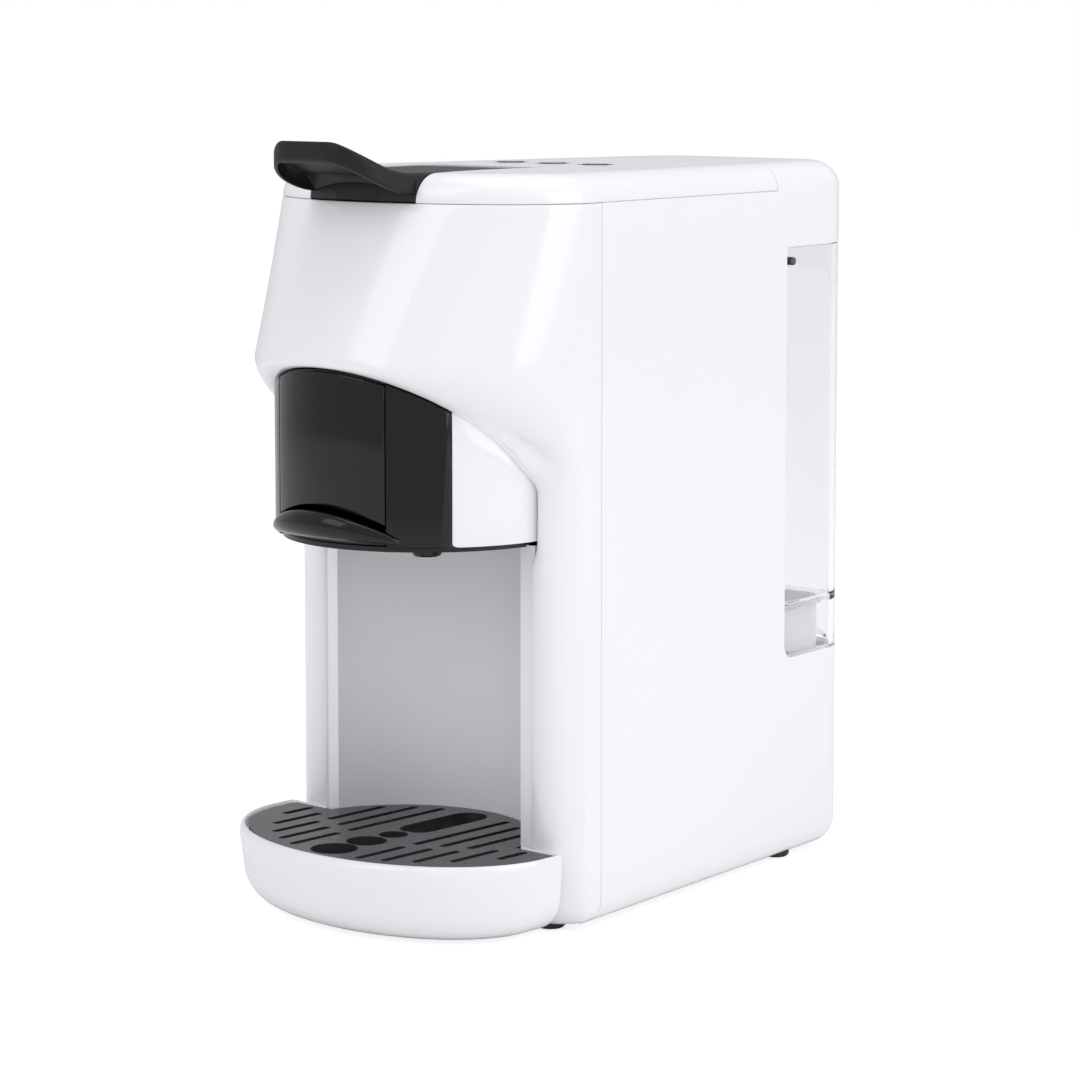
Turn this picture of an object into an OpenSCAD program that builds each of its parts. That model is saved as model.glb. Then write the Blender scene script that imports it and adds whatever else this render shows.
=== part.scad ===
// Pod coffee machine: a drawer-fed pod brewer with a lever on top, a round-backed
// cup niche, a boat-shaped drip tray and a clear water tank across its back.
//
// Millimetres, +Z up, +Y towards the back. The modules are drawn about the side seam,
// the vertical joint of front and rear shell, and placed() moves them so that the
// origin is the middle of the footprint on the table.

/* [Body] */
// Width across the front shell
body_w = 142; // [130:1:160]
// How far each side lies inside the full width at the side seam
seam_in = 1; // [0.5:0.5:2]
// Angle at which the sides close in towards the back
side_angle = 6.98; // [5.5:0.02:8]
// Distance from the side seam to the back
rear_depth = 175.6; // [150:0.2:210]
// Plan radius of the rear corners
rear_corner_r = 20; // [12:1:30]
// Height of the shells' lower edge above the table
base_z = 2; // [2:0.5:8]
// Height of the seam under the top cover
seam_z = 262.5; // [255:0.5:280]
// Height of the cover's rounded edge
cover_edge_r = 10.5; // [8:0.5:14]
// Extra height of the cover's middle
crown_h = 0.5; // [0.5:0.5:3]
// Wall of the moulded shells
wall = 2.5; // [2:0.1:3]
// Distance from the side seam back to the cover's rear seam
cover_reach = 118; // [100:1:120]

/* [Head] */
// Distance from the side seam forward to the head front at the cover seam
head_top_reach = 54; // [48:1:58]
// Distance from the side seam forward to the head's foremost line
head_reach = 77.3; // [72:0.1:79]
// Height of the head's foremost line
bulge_z = 204.5; // [195:0.5:215]
// Half-ellipse centre of the head plan, ahead of the side seam
plan_shift = 8; // [5:1:10]

/* [Cup niche] */
// Width of the arch at its springing
arch_w = 111; // [108:1:114]
// Height of the arch's crown
arch_top_z = 204; // [195:0.5:208]
// Height where the arch's sides become upright
arch_spring_z = 150; // [143:1:160]
// Radius of the niche's round back
niche_r = 49.5; // [46:0.5:51]
// Centre of the niche's round back, ahead of the side seam
niche_shift = 33.5; // [28:0.5:38]
// Width between the two legs
leg_gap = 105.2; // [103:0.2:108]
// Thickness of the niche liner
liner_t = 1.6; // [1.2:0.1:2.4]
// Distance from the side seam forward to the front of the legs
leg_reach = 21; // [18:0.5:24]
// Plan radius of the legs' outer corners
leg_corner_r = 15; // [10:1:15]

/* [Inner head] */
// Radius of the white skirt round the pod drawer
skirt_r = 54; // [52:0.5:55]
// Axis of the brewing group, ahead of the side seam
brew_shift = 18; // [16:0.5:20]
// Height of the skirt's lower edge
skirt_z = 141.5; // [136:0.5:146]
// Width of the dark front panel
bezel_w = 88; // [80:1:92]
// Thickness of the dark front panel
bezel_t = 1.6; // [1.2:0.1:2]
// Thickness of the spout plate
spout_plate_t = 1.8; // [1.4:0.1:2.4]
// Diameter of the spout
spout_d = 10.7; // [8:0.1:14]
// Length of the spout under its plate
spout_len = 8.8; // [6:0.1:14]

/* [Pod drawer] */
// Width of the drawer's front
drawer_w = 53; // [48:1:56]
// Height of the drawer's front above the skirt's lower edge
drawer_front_h = 57.5; // [50:0.5:58.5]
// Height of the drawer's body
drawer_h = 34; // [30:1:38]
// Inner radius of the pod cup
cup_r = 15.5; // [14:0.5:17]
// Depth of the pod cup
cup_depth = 27; // [22:1:29]
// Thickness of the drawer's finger lip
lip_t = 3.2; // [2.4:0.2:4]

/* [Lever] */
// Width of the lever
lever_w = 53; // [46:1:58]
// Height of the paddle's tip above the table
paddle_z = 285.6; // [280:0.2:292]
// Distance from the side seam forward to the paddle's tip
paddle_reach = 79.5; // [70:0.5:82]
// Thickness of the paddle's rim
paddle_t = 7.7; // [5:0.1:9]
// Radius of the hinge barrel at the lever's back
barrel_r = 6.5; // [6:0.5:7]
// Lever hinge axis, behind the side seam
hinge_shift = 7; // [3:0.5:9]
// Diameter of the hinge pin
pin_d = 4; // [3:0.5:4]
// Largest radius of the cam that presses the brewing head down
cam_r = 22; // [20:0.5:24]
// How far the cam draws back from the brewing head when the lever stands open
piston_lift = 8; // [6:0.5:10]
// Opening angle of the lever
lever_open = 70; // [50:1:70]

/* [Buttons] */
// Diameter of the buttons
button_d = 11; // [9:0.5:13]
// Distance between the buttons
button_pitch = 21.6; // [18:0.2:24]
// Distance from the side seam back to the buttons
button_shift = 51; // [44:1:60]

/* [Water tank] */
// Distance from the side seam back to the tank's front
tank_front = 125; // [120:1:135]
// Height of the tank bay's floor
bay_z = 80; // [70:1:90]
// Height of the tank bay
bay_h = 161; // [140:1:168]
// Wall of the tank
tank_t = 2; // [1.6:0.1:3]
// Height of the tank's inner floor above the bay floor
tank_floor_h = 23; // [18:1:30]

/* [Drip tray] */
// Half width of the tray's front bowl
tray_a = 70; // [66:0.5:70.5]
// Length of the tray's front bowl
tray_b = 52; // [46:0.5:56]
// Widest line of the tray's front bowl, ahead of the side seam
tray_shift = 30; // [28:0.5:34]
// Height of the tray's rim
tray_z = 30; // [26:0.5:36]
// Wall of the tray
tray_t = 2.4; // [2:0.1:3]
// Rounding under the tray's front
tray_round = 14.5; // [10:0.5:18]
// Thickness of the drip grid
grid_t = 2.4; // [2:0.1:3]
// Width of the grid's slots
slot_w = 3.2; // [2.4:0.1:4]
// Distance between the rows of slots
slot_pitch = 9.6; // [8.6:0.1:10]
// Width of the grid's large middle slot
drain_w = 14.6; // [10:0.2:16]

/* [Feet] */
// Diameter of the feet
foot_d = 11; // [8:0.5:12]

/* [Hidden] */
$fn = 64;

gap = 0.3;          // running gap between neighbouring pieces
fit = 0.05;         // radial clearance of a shaft in its hole
lap = 0.5;          // how far a cutter reaches past the face that it cuts
seam_y = (tray_b + tray_shift - rear_depth) / 2;
top_z = seam_z + cover_edge_r;
crest_z = top_z + crown_h;
seam_w = body_w - 2 * seam_in;
taper = tan(side_angle);
head_b_top = head_top_reach - plan_shift;
head_b_max = head_reach - plan_shift;
roll_k = 0.13;      // how quickly the head draws in below its foremost line
roll_power = 1.7;
blend = 8;          // width of the soft join of head and legs
floor_t = 3;        // thickness of the base plate
deck_z = arch_top_z + 1.5;
deck_t = 3;
hinge_z = crest_z - barrel_r;
under_z = crest_z - wall - lap;       // underside of the cover's middle
lip = 5;                              // how far the cover's edge stands behind the hinge
cam_pad_z = hinge_z - cam_r - gap;
drawer_z = skirt_z + 0.6;
drawer_top = drawer_z + drawer_h;
ring_d = button_d + 2.8;
board_z = seam_z - 6;
chassis_y = 31;
chassis_t = 3;
chassis_half = seam_w / 2 - 20;       // half the width of the chassis
deck_half = bezel_w / 2 + 1;          // half the width of the frame's deck
port_z = bay_z + tank_floor_h + 11;   // axis of the tank's water port
port_r = 5;
hose_r = 2.8;
pump_z = 42;                          // axis of the pump
pump_y = chassis_y + 17;              // its outlet, behind the side seam
pump_w = 34;
pump_len = 54;
pump_neck = 12;                       // radius of its front neck
pump_tail = 9;                        // radius of its rear neck
boiler_z = 150;                       // underside of the boiler
boiler_h = 62;
boiler_w = 44;
boiler_d = 36;
fin_out = 4;                          // how far its ribs stand out
rib_t = 3;
meter_z = 100;                        // axis of the flow meter
meter_x = 30;
meter_r = 13;
meter_t = 12;
psu_w = 30;                           // power board and the parts on it
psu_d = 56;
psu_lift = 6;
board_t = 1.6;
plinth_r = 10;                        // plan radius of the tank plinth's rear corners
plinth_back = 13.6;                   // its distance from the back
plinth_side = 5.4;                    // its distance from the tapering side
bay_top = bay_z + bay_h;
screw_d = 3;
screw_row = 8.5;                      // base screws, behind the chassis' front
screw_x = [for (k = [-3, -1, 1, 3]) k * (chassis_half - 6) / 3];
front_foot_x = body_w / 2 - 15;
front_foot_y = 9 - leg_reach;
rear_foot_y = rear_depth - 44.6;
rear_foot_x = seam_w / 2 - taper * rear_foot_y - 8;
foot_places = [[-front_foot_x, front_foot_y], [front_foot_x, front_foot_y],
  [-rear_foot_x, rear_foot_y], [rear_foot_x, rear_foot_y]];
gland_x = -22;                        // cord inlet in the back wall
gland_z = 30;
gland_r = 5.2;
lip_curve = 61;                       // plan radius of the finger lip
recess_r = 57.5;                      // radius of the finger recess' arch
recess_in = 9.4;                      // depth of the finger recess behind the drawer's front
stem_r = 8;
guide_z = drawer_top + gap + 8 + piston_lift + 2;

module placed() { translate([0, seam_y, 0]) children(); }

// Points of an arc about [x, y]
function arc(x, y, r, from, to, n) =
  [for (i = [0:n]) let (a = from + (to - from) * i / n) [x + r * cos(a), y + r * sin(a)]];

// The same points seen in a mirror at X = 0, in reverse order
function mirrored(p) = [for (i = [len(p) - 1:-1:0]) [-p[i][0], p[i][1]]];
function lifted(p, z) = [for (q = p) [q[0], q[1], z]];

// Plan of the rear half, drawn in by ix at its sides and by iy at its back
function rear_plan(ix, iy) =
  let (a = atan(taper), r = max(2, rear_corner_r - max(ix, iy) * 0.7),
       cy = rear_depth - iy - r, cx = seam_w / 2 - ix - taper * cy - r / cos(a),
       right = concat([[seam_w / 2 - ix, 0]], arc(cx, cy, r, a, 90, 8)))
  concat(right, mirrored(right));

// Largest value of two, with a soft change from one to the other
function soft_max(a, b) = let (h = max(blend - abs(a - b), 0)) max(a, b) + h * h / blend / 4;

// How far the head stands out ahead of the plan's centre line at height z
function head_b(z) = z >= bulge_z
  ? head_b_max - (head_b_max - head_b_top) * (z - bulge_z) / (seam_z - bulge_z)
  : head_b_max - roll_k * pow(bulge_z - z, roll_power);

// Front outline of the legs at x, ahead of the plan's centre line
function leg_b(x) = let (u = max(0, abs(x) - (body_w / 2 - leg_corner_r)))
  leg_reach - plan_shift - leg_corner_r + sqrt(max(0, leg_corner_r * leg_corner_r - u * u));

// Plan of the front half at height z, drawn in by i
function front_plan(z, i, n) =
  let (a = body_w / 2, k = (a - i) / a, b = max(0, head_b(z)))
  concat([[-seam_w / 2 + i, 0]],
    [for (j = [0:n]) let (t = -90 + 180 * j / n, x = a * sin(t))
      [x * k, -plan_shift - max(0, soft_max(leg_b(x), b * cos(t)) - i)]],
    [[seam_w / 2 - i, 0]]);

// Plan of the cover: half-ellipse front, tapering sides, cut square at its rear seam
function cover_plan(i) =
  let (side = seam_w / 2 - i - taper * (cover_reach - gap))
  concat([[side, cover_reach - gap], [-side, cover_reach - gap], [-seam_w / 2 + i, 0]],
    [for (j = [0:24]) let (t = -90 + 180 * j / 24)
      [(body_w / 2 - i) * sin(t), -plan_shift - (head_b_top - i) * cos(t)]],
    [[seam_w / 2 - i, 0]]);

// Solid through a stack of outlines with equal numbers of points
module loft(rings) {
  n = len(rings[0]);
  m = len(rings);
  points = [for (ring = rings, p = ring) p];
  sides = [for (j = [0:m - 2], i = [0:n - 1]) let (k = (i + 1) % n)
    each [[j * n + i, (j + 1) * n + k, j * n + k], [j * n + i, (j + 1) * n + i, (j + 1) * n + k]]];
  polyhedron(points, concat(sides, [[for (i = [0:n - 1]) i]],
    [[for (i = [n - 1:-1:0]) (m - 1) * n + i]]));
}

// Rounded top edge: pairs of height and draw-in, from the seam up to the crown
function top_edge(cut) = concat(
  [for (t = [0:15:90]) [seam_z + (cover_edge_r - cut) * sin(t), cut + cover_edge_r * (1 - cos(t))]],
  [[crest_z - crown_h * 0.35 - cut, 2.4 * cover_edge_r], [crest_z - cut, 4 * cover_edge_r]]);

edge_in = 4;        // draw-in of the side walls at the table
edge_h = 9;         // height over which they draw in
rear_edge_in = 11;  // draw-in of the back wall at the table

// Outer body of the rear half, or its hollow when cut is the wall
module rear_body(cut) {
  z0 = cut > 0 ? base_z - lap : base_z;
  low = [for (t = [0:22.5:90]) let (s = 1 - sin(t))
    lifted(rear_plan(cut + edge_in * s, cut + rear_edge_in * s), z0 + edge_h * (1 - cos(t)))];
  rounded = [for (e = top_edge(cut)) lifted(rear_plan(e[1], e[1]), e[0])];
  loft(concat(low, rounded));
}

// Outer body of the front half, or its hollow when cut is the wall
module front_body(cut) {
  n = cut > 0 ? 24 : 40;
  z0 = cut > 0 ? base_z - lap : base_z;
  z1 = cut > 0 ? seam_z + lap : seam_z - gap;
  low = [for (t = [0:30:90]) lifted(front_plan(base_z, cut + edge_in * (1 - sin(t)), n),
    z0 + edge_h * (1 - cos(t)))];
  steps = cut > 0 ? 9 : 16;
  under = arch_spring_z + 14;
  roll = [for (j = [0:steps]) let (z = under + (bulge_z + 6 - under) * j / steps)
    lifted(front_plan(z, cut, n), z)];
  loft(concat(low, [lifted(front_plan(base_z, cut, n), arch_spring_z)], roll,
    [lifted(front_plan(z1, cut, n), z1)]));
}

// Upright slab between two heights with the niche's round plan
module niche_round(r, z0, z1) {
  translate([0, -niche_shift, z0]) cylinder(r = r, h = z1 - z0, $fn = 96);
}

// Arch outline in the XZ plane: a superellipse above upright sides, rounder across than upwards
function arch_points(w, top) = let (n = 24, across = 2.1, upward = 3.2)
  concat([[w / 2, skirt_z - spout_plate_t - gap], [w / 2, arch_spring_z]],
    [for (j = [1:n - 1]) let (t = 180 * j / n, c = cos(t))
      [sign(c) * w / 2 * pow(abs(c), 2 / across),
       arch_spring_z + (top - arch_spring_z) * pow(sin(t), 2 / upward)]],
    [[-w / 2, arch_spring_z], [-w / 2, skirt_z - spout_plate_t - gap]]);

// Block standing on [x0, y0, z0] and reaching to [x1, y1, z1]
module block(a, b) { translate(a) cube([b[0] - a[0], b[1] - a[1], b[2] - a[2]]); }

module base_plate() {
  inset = wall + gap + 1;
  color("gainsboro") placed() difference() {
    translate([0, 0, base_z]) linear_extrude(floor_t) difference() {
      union() {
        polygon(rear_plan(inset + edge_in * 0.6, inset + rear_edge_in * 0.6));
        translate([-seam_w / 2 + inset + edge_in * 0.6, -leg_reach + inset + edge_in])
          square([seam_w - 2 * inset - edge_in * 1.2, leg_reach - inset - edge_in + lap]);
      }
      for (s = [-1, 1]) translate([s * (body_w / 2 - wall - 5), -leg_reach + wall])
        rotate(45) square(20, center = true);
    }
    for (p = foot_places) translate([p[0], p[1], base_z - lap]) cylinder(d = screw_d, h = 2 * floor_t);
    for (x = screw_x) translate([x, chassis_y + screw_row, base_z - lap]) cylinder(d = screw_d, h = 2 * floor_t);
  }
}

module foot(i) {
  p = foot_places[i];
  color("#26262a") placed() translate([p[0], p[1], 0]) {
    rotate_extrude() polygon([[0, 0], [foot_d / 2 - 0.8, 0], [foot_d / 2, 0.8],
      [foot_d / 2, base_z], [0, base_z]]);
    translate([0, 0, base_z]) cylinder(r = screw_d / 2 - fit, h = floor_t);
  }
}

module front_shell() {
  color("white") placed() difference() {
    front_body(0);
    translate([0, gap / 4, 0]) front_body(wall);
    // the arch over the pod drawer
    rotate([90, 0, 0]) linear_extrude(head_reach + 10) polygon(arch_points(arch_w, arch_top_z));
    // the open niche between the legs
    niche_round(niche_r + liner_t + gap, base_z - lap, skirt_z - spout_plate_t);
    block([-leg_gap / 2, -head_reach, base_z - lap],
      [leg_gap / 2, gap - leg_reach + wall, skirt_z - spout_plate_t]);
    block([-body_w, -gap / 2, 0], [body_w, lap, seam_z + 1]);
  }
}

module rear_shell() {
  catch_y = tank_front;
  color("white") placed() {
    difference() {
      rear_body(0);
      difference() {
        rear_body(wall);
        // walls of the tank bay
        block([-body_w, catch_y - wall, bay_z - wall], [body_w, catch_y, crest_z]);
        block([-body_w, catch_y - wall, bay_z - wall], [body_w, rear_depth, bay_z]);
        block([-body_w, catch_y - wall, bay_top], [body_w, rear_depth, bay_top + wall]);
      }
      // the bay is open at both sides and at the back
      block([-body_w, catch_y, bay_z], [body_w, rear_depth + lap, bay_top]);
      // the cover's seat
      block([-body_w, -lap, seam_z], [body_w, cover_reach, crest_z + 1]);
      // passage for the tank port and the cord
      translate([0, catch_y - wall - lap, port_z]) rotate([-90, 0, 0])
        cylinder(r = port_r + 1, h = wall + 2 * lap);
      translate([gland_x, rear_depth - wall - 12, gland_z]) rotate([-90, 0, 0])
        cylinder(r = gland_r + gap, h = 30);
    }
  }
}

module niche_panel() {
  front = -leg_reach + wall + gap;
  low = base_z + floor_t;
  high = skirt_z - spout_plate_t;
  color("#c9c9ce") placed() {
    difference() {
      niche_round(niche_r + liner_t, low, high);
      niche_round(niche_r, base_z, skirt_z);
      block([-body_w, -body_w, 0], [body_w, front, seam_z]);
    }
    // ears behind the legs
    for (s = [0, 1]) mirror([s, 0, 0]) difference() {
      block([niche_r - niche_shift / 3, front, base_z + edge_h], [leg_gap / 2 + 1.5, front + liner_t, high]);
      niche_round(niche_r + liner_t - lap, base_z, skirt_z);
    }
  }
}

module top_cover() {
  color("white") placed() difference() {
    loft([for (e = top_edge(0)) lifted(cover_plan(e[1]), e[0])]);
    translate([0, 0, -lap]) loft([for (e = top_edge(wall)) lifted(cover_plan(e[1]), e[0])]);
    // the lever's place, with a round back edge about the hinge
    block([-lever_w / 2 - gap, -body_w, 0], [lever_w / 2 + gap, hinge_shift + lip, crest_z + 1]);
    translate([-lever_w / 2 - gap, hinge_shift, hinge_z]) rotate([0, 90, 0])
      cylinder(r = barrel_r + gap, h = lever_w + 2 * gap);
    for (s = [-1:1]) translate([s * button_pitch, button_shift, seam_z])
      cylinder(d = ring_d + gap, h = 2 * cover_edge_r);
  }
}

// Upright half-round wall about the brewing axis, ahead of the legs
module skirt_wall(r_in, r_out, z0, z1) {
  translate([0, -brew_shift, z0]) difference() {
    cylinder(r = r_out, h = z1 - z0, $fn = 128);
    translate([0, 0, -lap]) cylinder(r = r_in, h = z1 - z0 + 2 * lap, $fn = 128);
    block([-body_w, brew_shift - leg_reach - gap, -lap], [body_w, body_w, z1]);
  }
}

// Space inside the arch, a running gap clear of the shell
module arch_inside() {
  rotate([90, 0, 0]) linear_extrude(head_reach) polygon(arch_points(arch_w - 2 * gap, arch_top_z - gap));
}

module head_skirt() {
  half = bezel_w / 2;
  color("white") placed() {
    difference() {
      intersection() {
        // a little wider than round, to meet the arch at the sides
        scale([(arch_w / 2 - gap) / skirt_r, 1, 1]) skirt_wall(skirt_r - 2, skirt_r, skirt_z, deck_z - gap);
        arch_inside();
      }
      block([-half, -body_w, skirt_z - lap], [half, 0, deck_z]);
    }
  }
}

module head_bezel() {
  half = bezel_w / 2 - 0.1;
  open = drawer_w / 2 + gap;
  color("#1c1c1f") placed() difference() {
    intersection() {
      skirt_wall(skirt_r - 2, skirt_r + bezel_t, skirt_z, deck_z - gap);
      arch_inside();
    }
    for (s = [0, 1]) mirror([s, 0, 0])
      block([half, -body_w, skirt_z - lap], [body_w, 0, deck_z]);
    block([-open, -body_w, skirt_z - lap], [open, 0, skirt_z + drawer_front_h + 2 * gap]);
    // recess for the thin top of the drawer's front
    intersection() {
      skirt_wall(skirt_r - gap, skirt_r + 2 * bezel_t, skirt_z, deck_z);
      block([-open, -body_w, skirt_z], [open, 0, deck_z]);
    }
  }
}

module spout_plate() {
  z = skirt_z - spout_plate_t;
  color("#202023") placed() difference() {
    intersection() {
      translate([0, -brew_shift, z]) cylinder(r = skirt_r - 1, h = spout_plate_t, $fn = 128);
      union() {
        block([-body_w, -body_w, z], [body_w, -leg_reach - gap, skirt_z]);
        block([-niche_r + 2, -leg_reach - 1, z], [niche_r - 2, chassis_y, skirt_z]);
      }
    }
    translate([0, -brew_shift, z - lap]) cylinder(d = spout_d - 3, h = spout_plate_t + 2 * lap);
  }
}

module spout_nozzle() {
  z = skirt_z - spout_plate_t;
  r = spout_d / 2;
  color("#202023") placed() translate([0, -brew_shift, z - spout_len]) rotate_extrude()
    polygon([[r - 2.6, 0], [r - 0.6, 0], [r, 0.6], [r, spout_len], [r - 1.6, spout_len]]);
}

module pod_drawer() {
  half = drawer_w / 2;
  front = -brew_shift - skirt_r - bezel_t;
  color("#1c1c1f") placed() {
    difference() {
      union() {
        // curved front, flush with the dark panel
        intersection() {
          skirt_wall(skirt_r - 2, skirt_r + bezel_t, drawer_z, skirt_z + drawer_front_h);
          block([-half, -body_w, 0], [half, 0, seam_z]);
        }
        // its thin top, up to the arch
        intersection() {
          skirt_wall(skirt_r, skirt_r + bezel_t, skirt_z + drawer_h, deck_z - gap);
          block([-half, -body_w, 0], [half, 0, seam_z]);
          rotate([90, 0, 0]) linear_extrude(head_reach)
            polygon(arch_points(arch_w - 4 * gap, arch_top_z - 2.5 * gap));
        }
        // drawer body, from the front back round the cup
        intersection() {
          translate([0, -brew_shift, drawer_z]) cylinder(r = skirt_r - 1.5, h = drawer_h);
          block([-half + 2, -body_w, 0], [half - 2, -brew_shift, seam_z]);
        }
        translate([0, -brew_shift, drawer_z]) cylinder(r = half - 2, h = drawer_h);
      }
      // round seat of the pod cup, with a drip hole below
      translate([0, -brew_shift, drawer_z + 3]) cylinder(r = cup_r + 4 + fit, h = drawer_h);
      translate([0, -brew_shift, drawer_z - lap]) cylinder(r = 4, h = drawer_h);
      // arched finger recess over the lip
      translate([0, front + recess_in, drawer_z - lap]) rotate([90, 0, 0])
        linear_extrude(3 * recess_in) intersection() {
          translate([0, 13.5 - recess_r]) circle(r = recess_r, $fn = 128);
          translate([-half, 0]) square([drawer_w, drawer_h]);
        }
      // hollow between front and cup
      block([-half + 5, front + 12, drawer_z + 3], [half - 5, -brew_shift - cup_r - 8, drawer_top + 1]);
    }
    // finger lip
    intersection() {
      translate([0, -brew_shift + 14, drawer_z]) cylinder(r = skirt_r + bezel_t + 20, h = lip_t);
      translate([0, front - lip_curve + 16.6, drawer_z]) cylinder(r = lip_curve, h = lip_t, $fn = 128);
      block([-half, -body_w, 0], [half, front + 14, seam_z]);
    }
  }
}

module pod_cup() {
  color("silver") placed() translate([0, -brew_shift, drawer_z + 3]) rotate_extrude()
    polygon([[3, 0], [cup_r + 2, 0], [cup_r + 2, drawer_h - 8], [cup_r + 4 - gap, drawer_h - 8],
      [cup_r + 4 - gap, drawer_h - 3], [cup_r, drawer_h - 3], [cup_r - 2, drawer_h - 3 - cup_depth],
      [3, drawer_h - 3 - cup_depth]]);
}

// Side outline of the paddle: its top rises ever steeper from the tongue to the tip
rise_at = head_top_reach - 6;
function paddle_top(y) = let (u = max(0, (-y - rise_at) / (paddle_reach - rise_at)))
  crest_z - 0.3 + (paddle_z - crest_z + 0.3) * u * u;

// Cross-section ring of the paddle at distance y, a rounded bar of half width w
function paddle_ring(y, w, z_top, t, r) = let (q = concat(
    [for (a = [0:30:90]) [w - r + r * sin(a), z_top - r + r * cos(a)]],
    [for (a = [90:30:180]) [w - r + r * sin(a), z_top - t + r + r * cos(a)]],
    [for (a = [180:30:270]) [-w + r + r * sin(a), z_top - t + r + r * cos(a)]],
    [for (a = [270:30:360]) [-w + r + r * sin(a), z_top - r + r * cos(a)]]))
  [for (i = [len(q) - 1:-1:0]) [q[i][0], y, q[i][1]]];

module lever() {
  root = -head_top_reach + 12;
  half = lever_w / 2;
  n = 14;
  // the cam draws in evenly as the lever opens, which frees the brewing head
  cam = concat([for (a = [0:4:lever_open + 8]) let (r = cam_r - piston_lift * a / lever_open)
      [r * sin(a), -r * cos(a)]], [[barrel_r - 1, 0], [0, barrel_r - 1], [-barrel_r + 1, 0],
      [-5, -barrel_r], [-4, -cam_r + 2]]);
  rings = [for (j = [0:n]) let (u = j / n, y = root - u * (paddle_reach - head_top_reach + 12),
      v = max(0, (u - 0.75) / 0.25), w = half - 4 * u - 7 * (1 - sqrt(1 - v * v * 0.98)),
      z = paddle_top(y)) paddle_ring(y, w, z, paddle_t, 2.2)];
  hollow = [for (j = [4:n - 1]) let (u = j / n, y = root - u * (paddle_reach - head_top_reach + 9),
      v = max(0, (u - 0.75) / 0.25), w = half - 3.5 - 4 * u - 7 * (1 - sqrt(1 - v * v * 0.98)),
      z = paddle_top(y)) paddle_ring(y, w, z - 2.4, paddle_t + 4, 2)];
  color("#343435") placed() difference() {
    union() {
      difference() { loft(rings); loft(hollow); }
      // flat tongue, let into the cover
      block([-half, root, crest_z - 6], [half, hinge_shift, crest_z - 0.3]);
      // apron down to the seam
      intersection() {
        translate([0, -plan_shift, seam_z + 0.1]) linear_extrude(crest_z - seam_z - 3)
          difference() {
            half_ellipse(0);
            half_ellipse(4);
          }
        block([-half, -head_top_reach - 1, 0], [half, root, seam_z + 9]);
      }
      block([-half, -head_top_reach + 6, crest_z - 8], [half, root + 1, crest_z - 3]);
      // barrel round the hinge
      translate([-half, hinge_shift, hinge_z]) rotate([0, 90, 0])
        cylinder(r = barrel_r - gap, h = lever_w);
      translate([6, hinge_shift, hinge_z]) rotate([90, 0, -90]) linear_extrude(12)
        mirror([1, 0]) polygon(cam);
    }
    translate([-half - lap, hinge_shift, hinge_z]) rotate([0, 90, 0])
      cylinder(d = pin_d + 2 * fit, h = lever_w + 2 * lap);
  }
}

// Half-ellipse plan of the head at the cover seam, drawn in by i
module half_ellipse(i) {
  polygon([for (j = [0:48]) let (t = -90 + 180 * j / 48)
    [(body_w / 2 - i) * sin(t), -(head_b_top - i) * cos(t)]]);
}

module lever_pin() {
  w = lever_w / 2 + 6;
  color("silver") placed() translate([-w, hinge_shift, hinge_z]) rotate([0, 90, 0])
    cylinder(d = pin_d, h = 2 * w);
}

module lever_clips() {
  w = lever_w / 2 + 4.2;
  color("dimgray") placed() for (s = [-1, 1])
    translate([s * (w + 0.5) - 0.5, hinge_shift, hinge_z]) rotate([0, 90, 0]) difference() {
      cylinder(d = pin_d + 2.4, h = 1);
      translate([0, 0, -lap]) cylinder(d = pin_d, h = 1 + 2 * lap);
    }
}

module brew_frame() {
  side_x = lever_w / 2 + 0.9;
  color("#55565c") placed() {
    difference() {
      union() {
        // deck over the skirt
        intersection() {
          translate([0, -brew_shift, deck_z]) cylinder(r = skirt_r - 2, h = deck_t);
          block([-body_w, -body_w, 0], [body_w, chassis_y, seam_z]);
        }
        block([-deck_half, -brew_shift, deck_z], [deck_half, chassis_y, deck_z + deck_t]);
        // guide of the stem
        translate([0, -brew_shift, guide_z]) cylinder(r = stem_r + 4, h = deck_z - guide_z + lap);
        // cheeks that carry the hinge pin
        for (s = [0, 1]) mirror([s, 0, 0]) translate([side_x, 0, 0]) rotate([90, 0, 90])
          linear_extrude(3) polygon([[-44, deck_z + deck_t - lap], [chassis_y, deck_z + deck_t - lap],
            [chassis_y, hinge_z - 14], [hinge_shift + 6, under_z - gap], [hinge_shift - 6, under_z - gap],
            [-12, hinge_z - 20]]);
      }
      translate([0, -brew_shift, guide_z - lap]) cylinder(r = stem_r + fit, h = 40);
      translate([-body_w / 2, hinge_shift, hinge_z]) rotate([0, 90, 0])
        cylinder(d = pin_d + 2 * fit, h = body_w);
    }
  }
}

module brew_piston() {
  z = drawer_top + gap;
  pad = cam_pad_z - 1.5;
  color("#3c3d42") placed() {
    translate([0, -brew_shift, z]) rotate_extrude()
      polygon([[0, 4], [12, 4], [12, 0], [15, 0], [15, 2], [18, 2], [18, 0], [19, 0], [19, 8],
        [stem_r, 8], [stem_r, pad - 6 - z], [0, pad - 6 - z]]);
    // crosshead with its ridge under the cam
    block([-9, -brew_shift - stem_r, pad - 6], [9, hinge_shift + 6, pad]);
    translate([-7, hinge_shift, pad]) rotate([0, 90, 0]) cylinder(r = 1.5, h = 14);
  }
}

module piston_seal() {
  color("#8a2f2a") placed() translate([0, -brew_shift, drawer_top + gap]) difference() {
    cylinder(r = 18, h = 2);
    translate([0, 0, -lap]) cylinder(r = 15, h = 2 + 2 * lap);
  }
}

module needle_plate() {
  z = drawer_top + gap;
  color("silver") placed() translate([0, -brew_shift, 0]) {
    translate([0, 0, z + 2.5]) cylinder(r = 12, h = 1.5);
    for (a = [0:60:300]) rotate(a) translate([7, 0, z + 0.3]) cylinder(r = 0.8, h = 2.2);
  }
}

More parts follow.
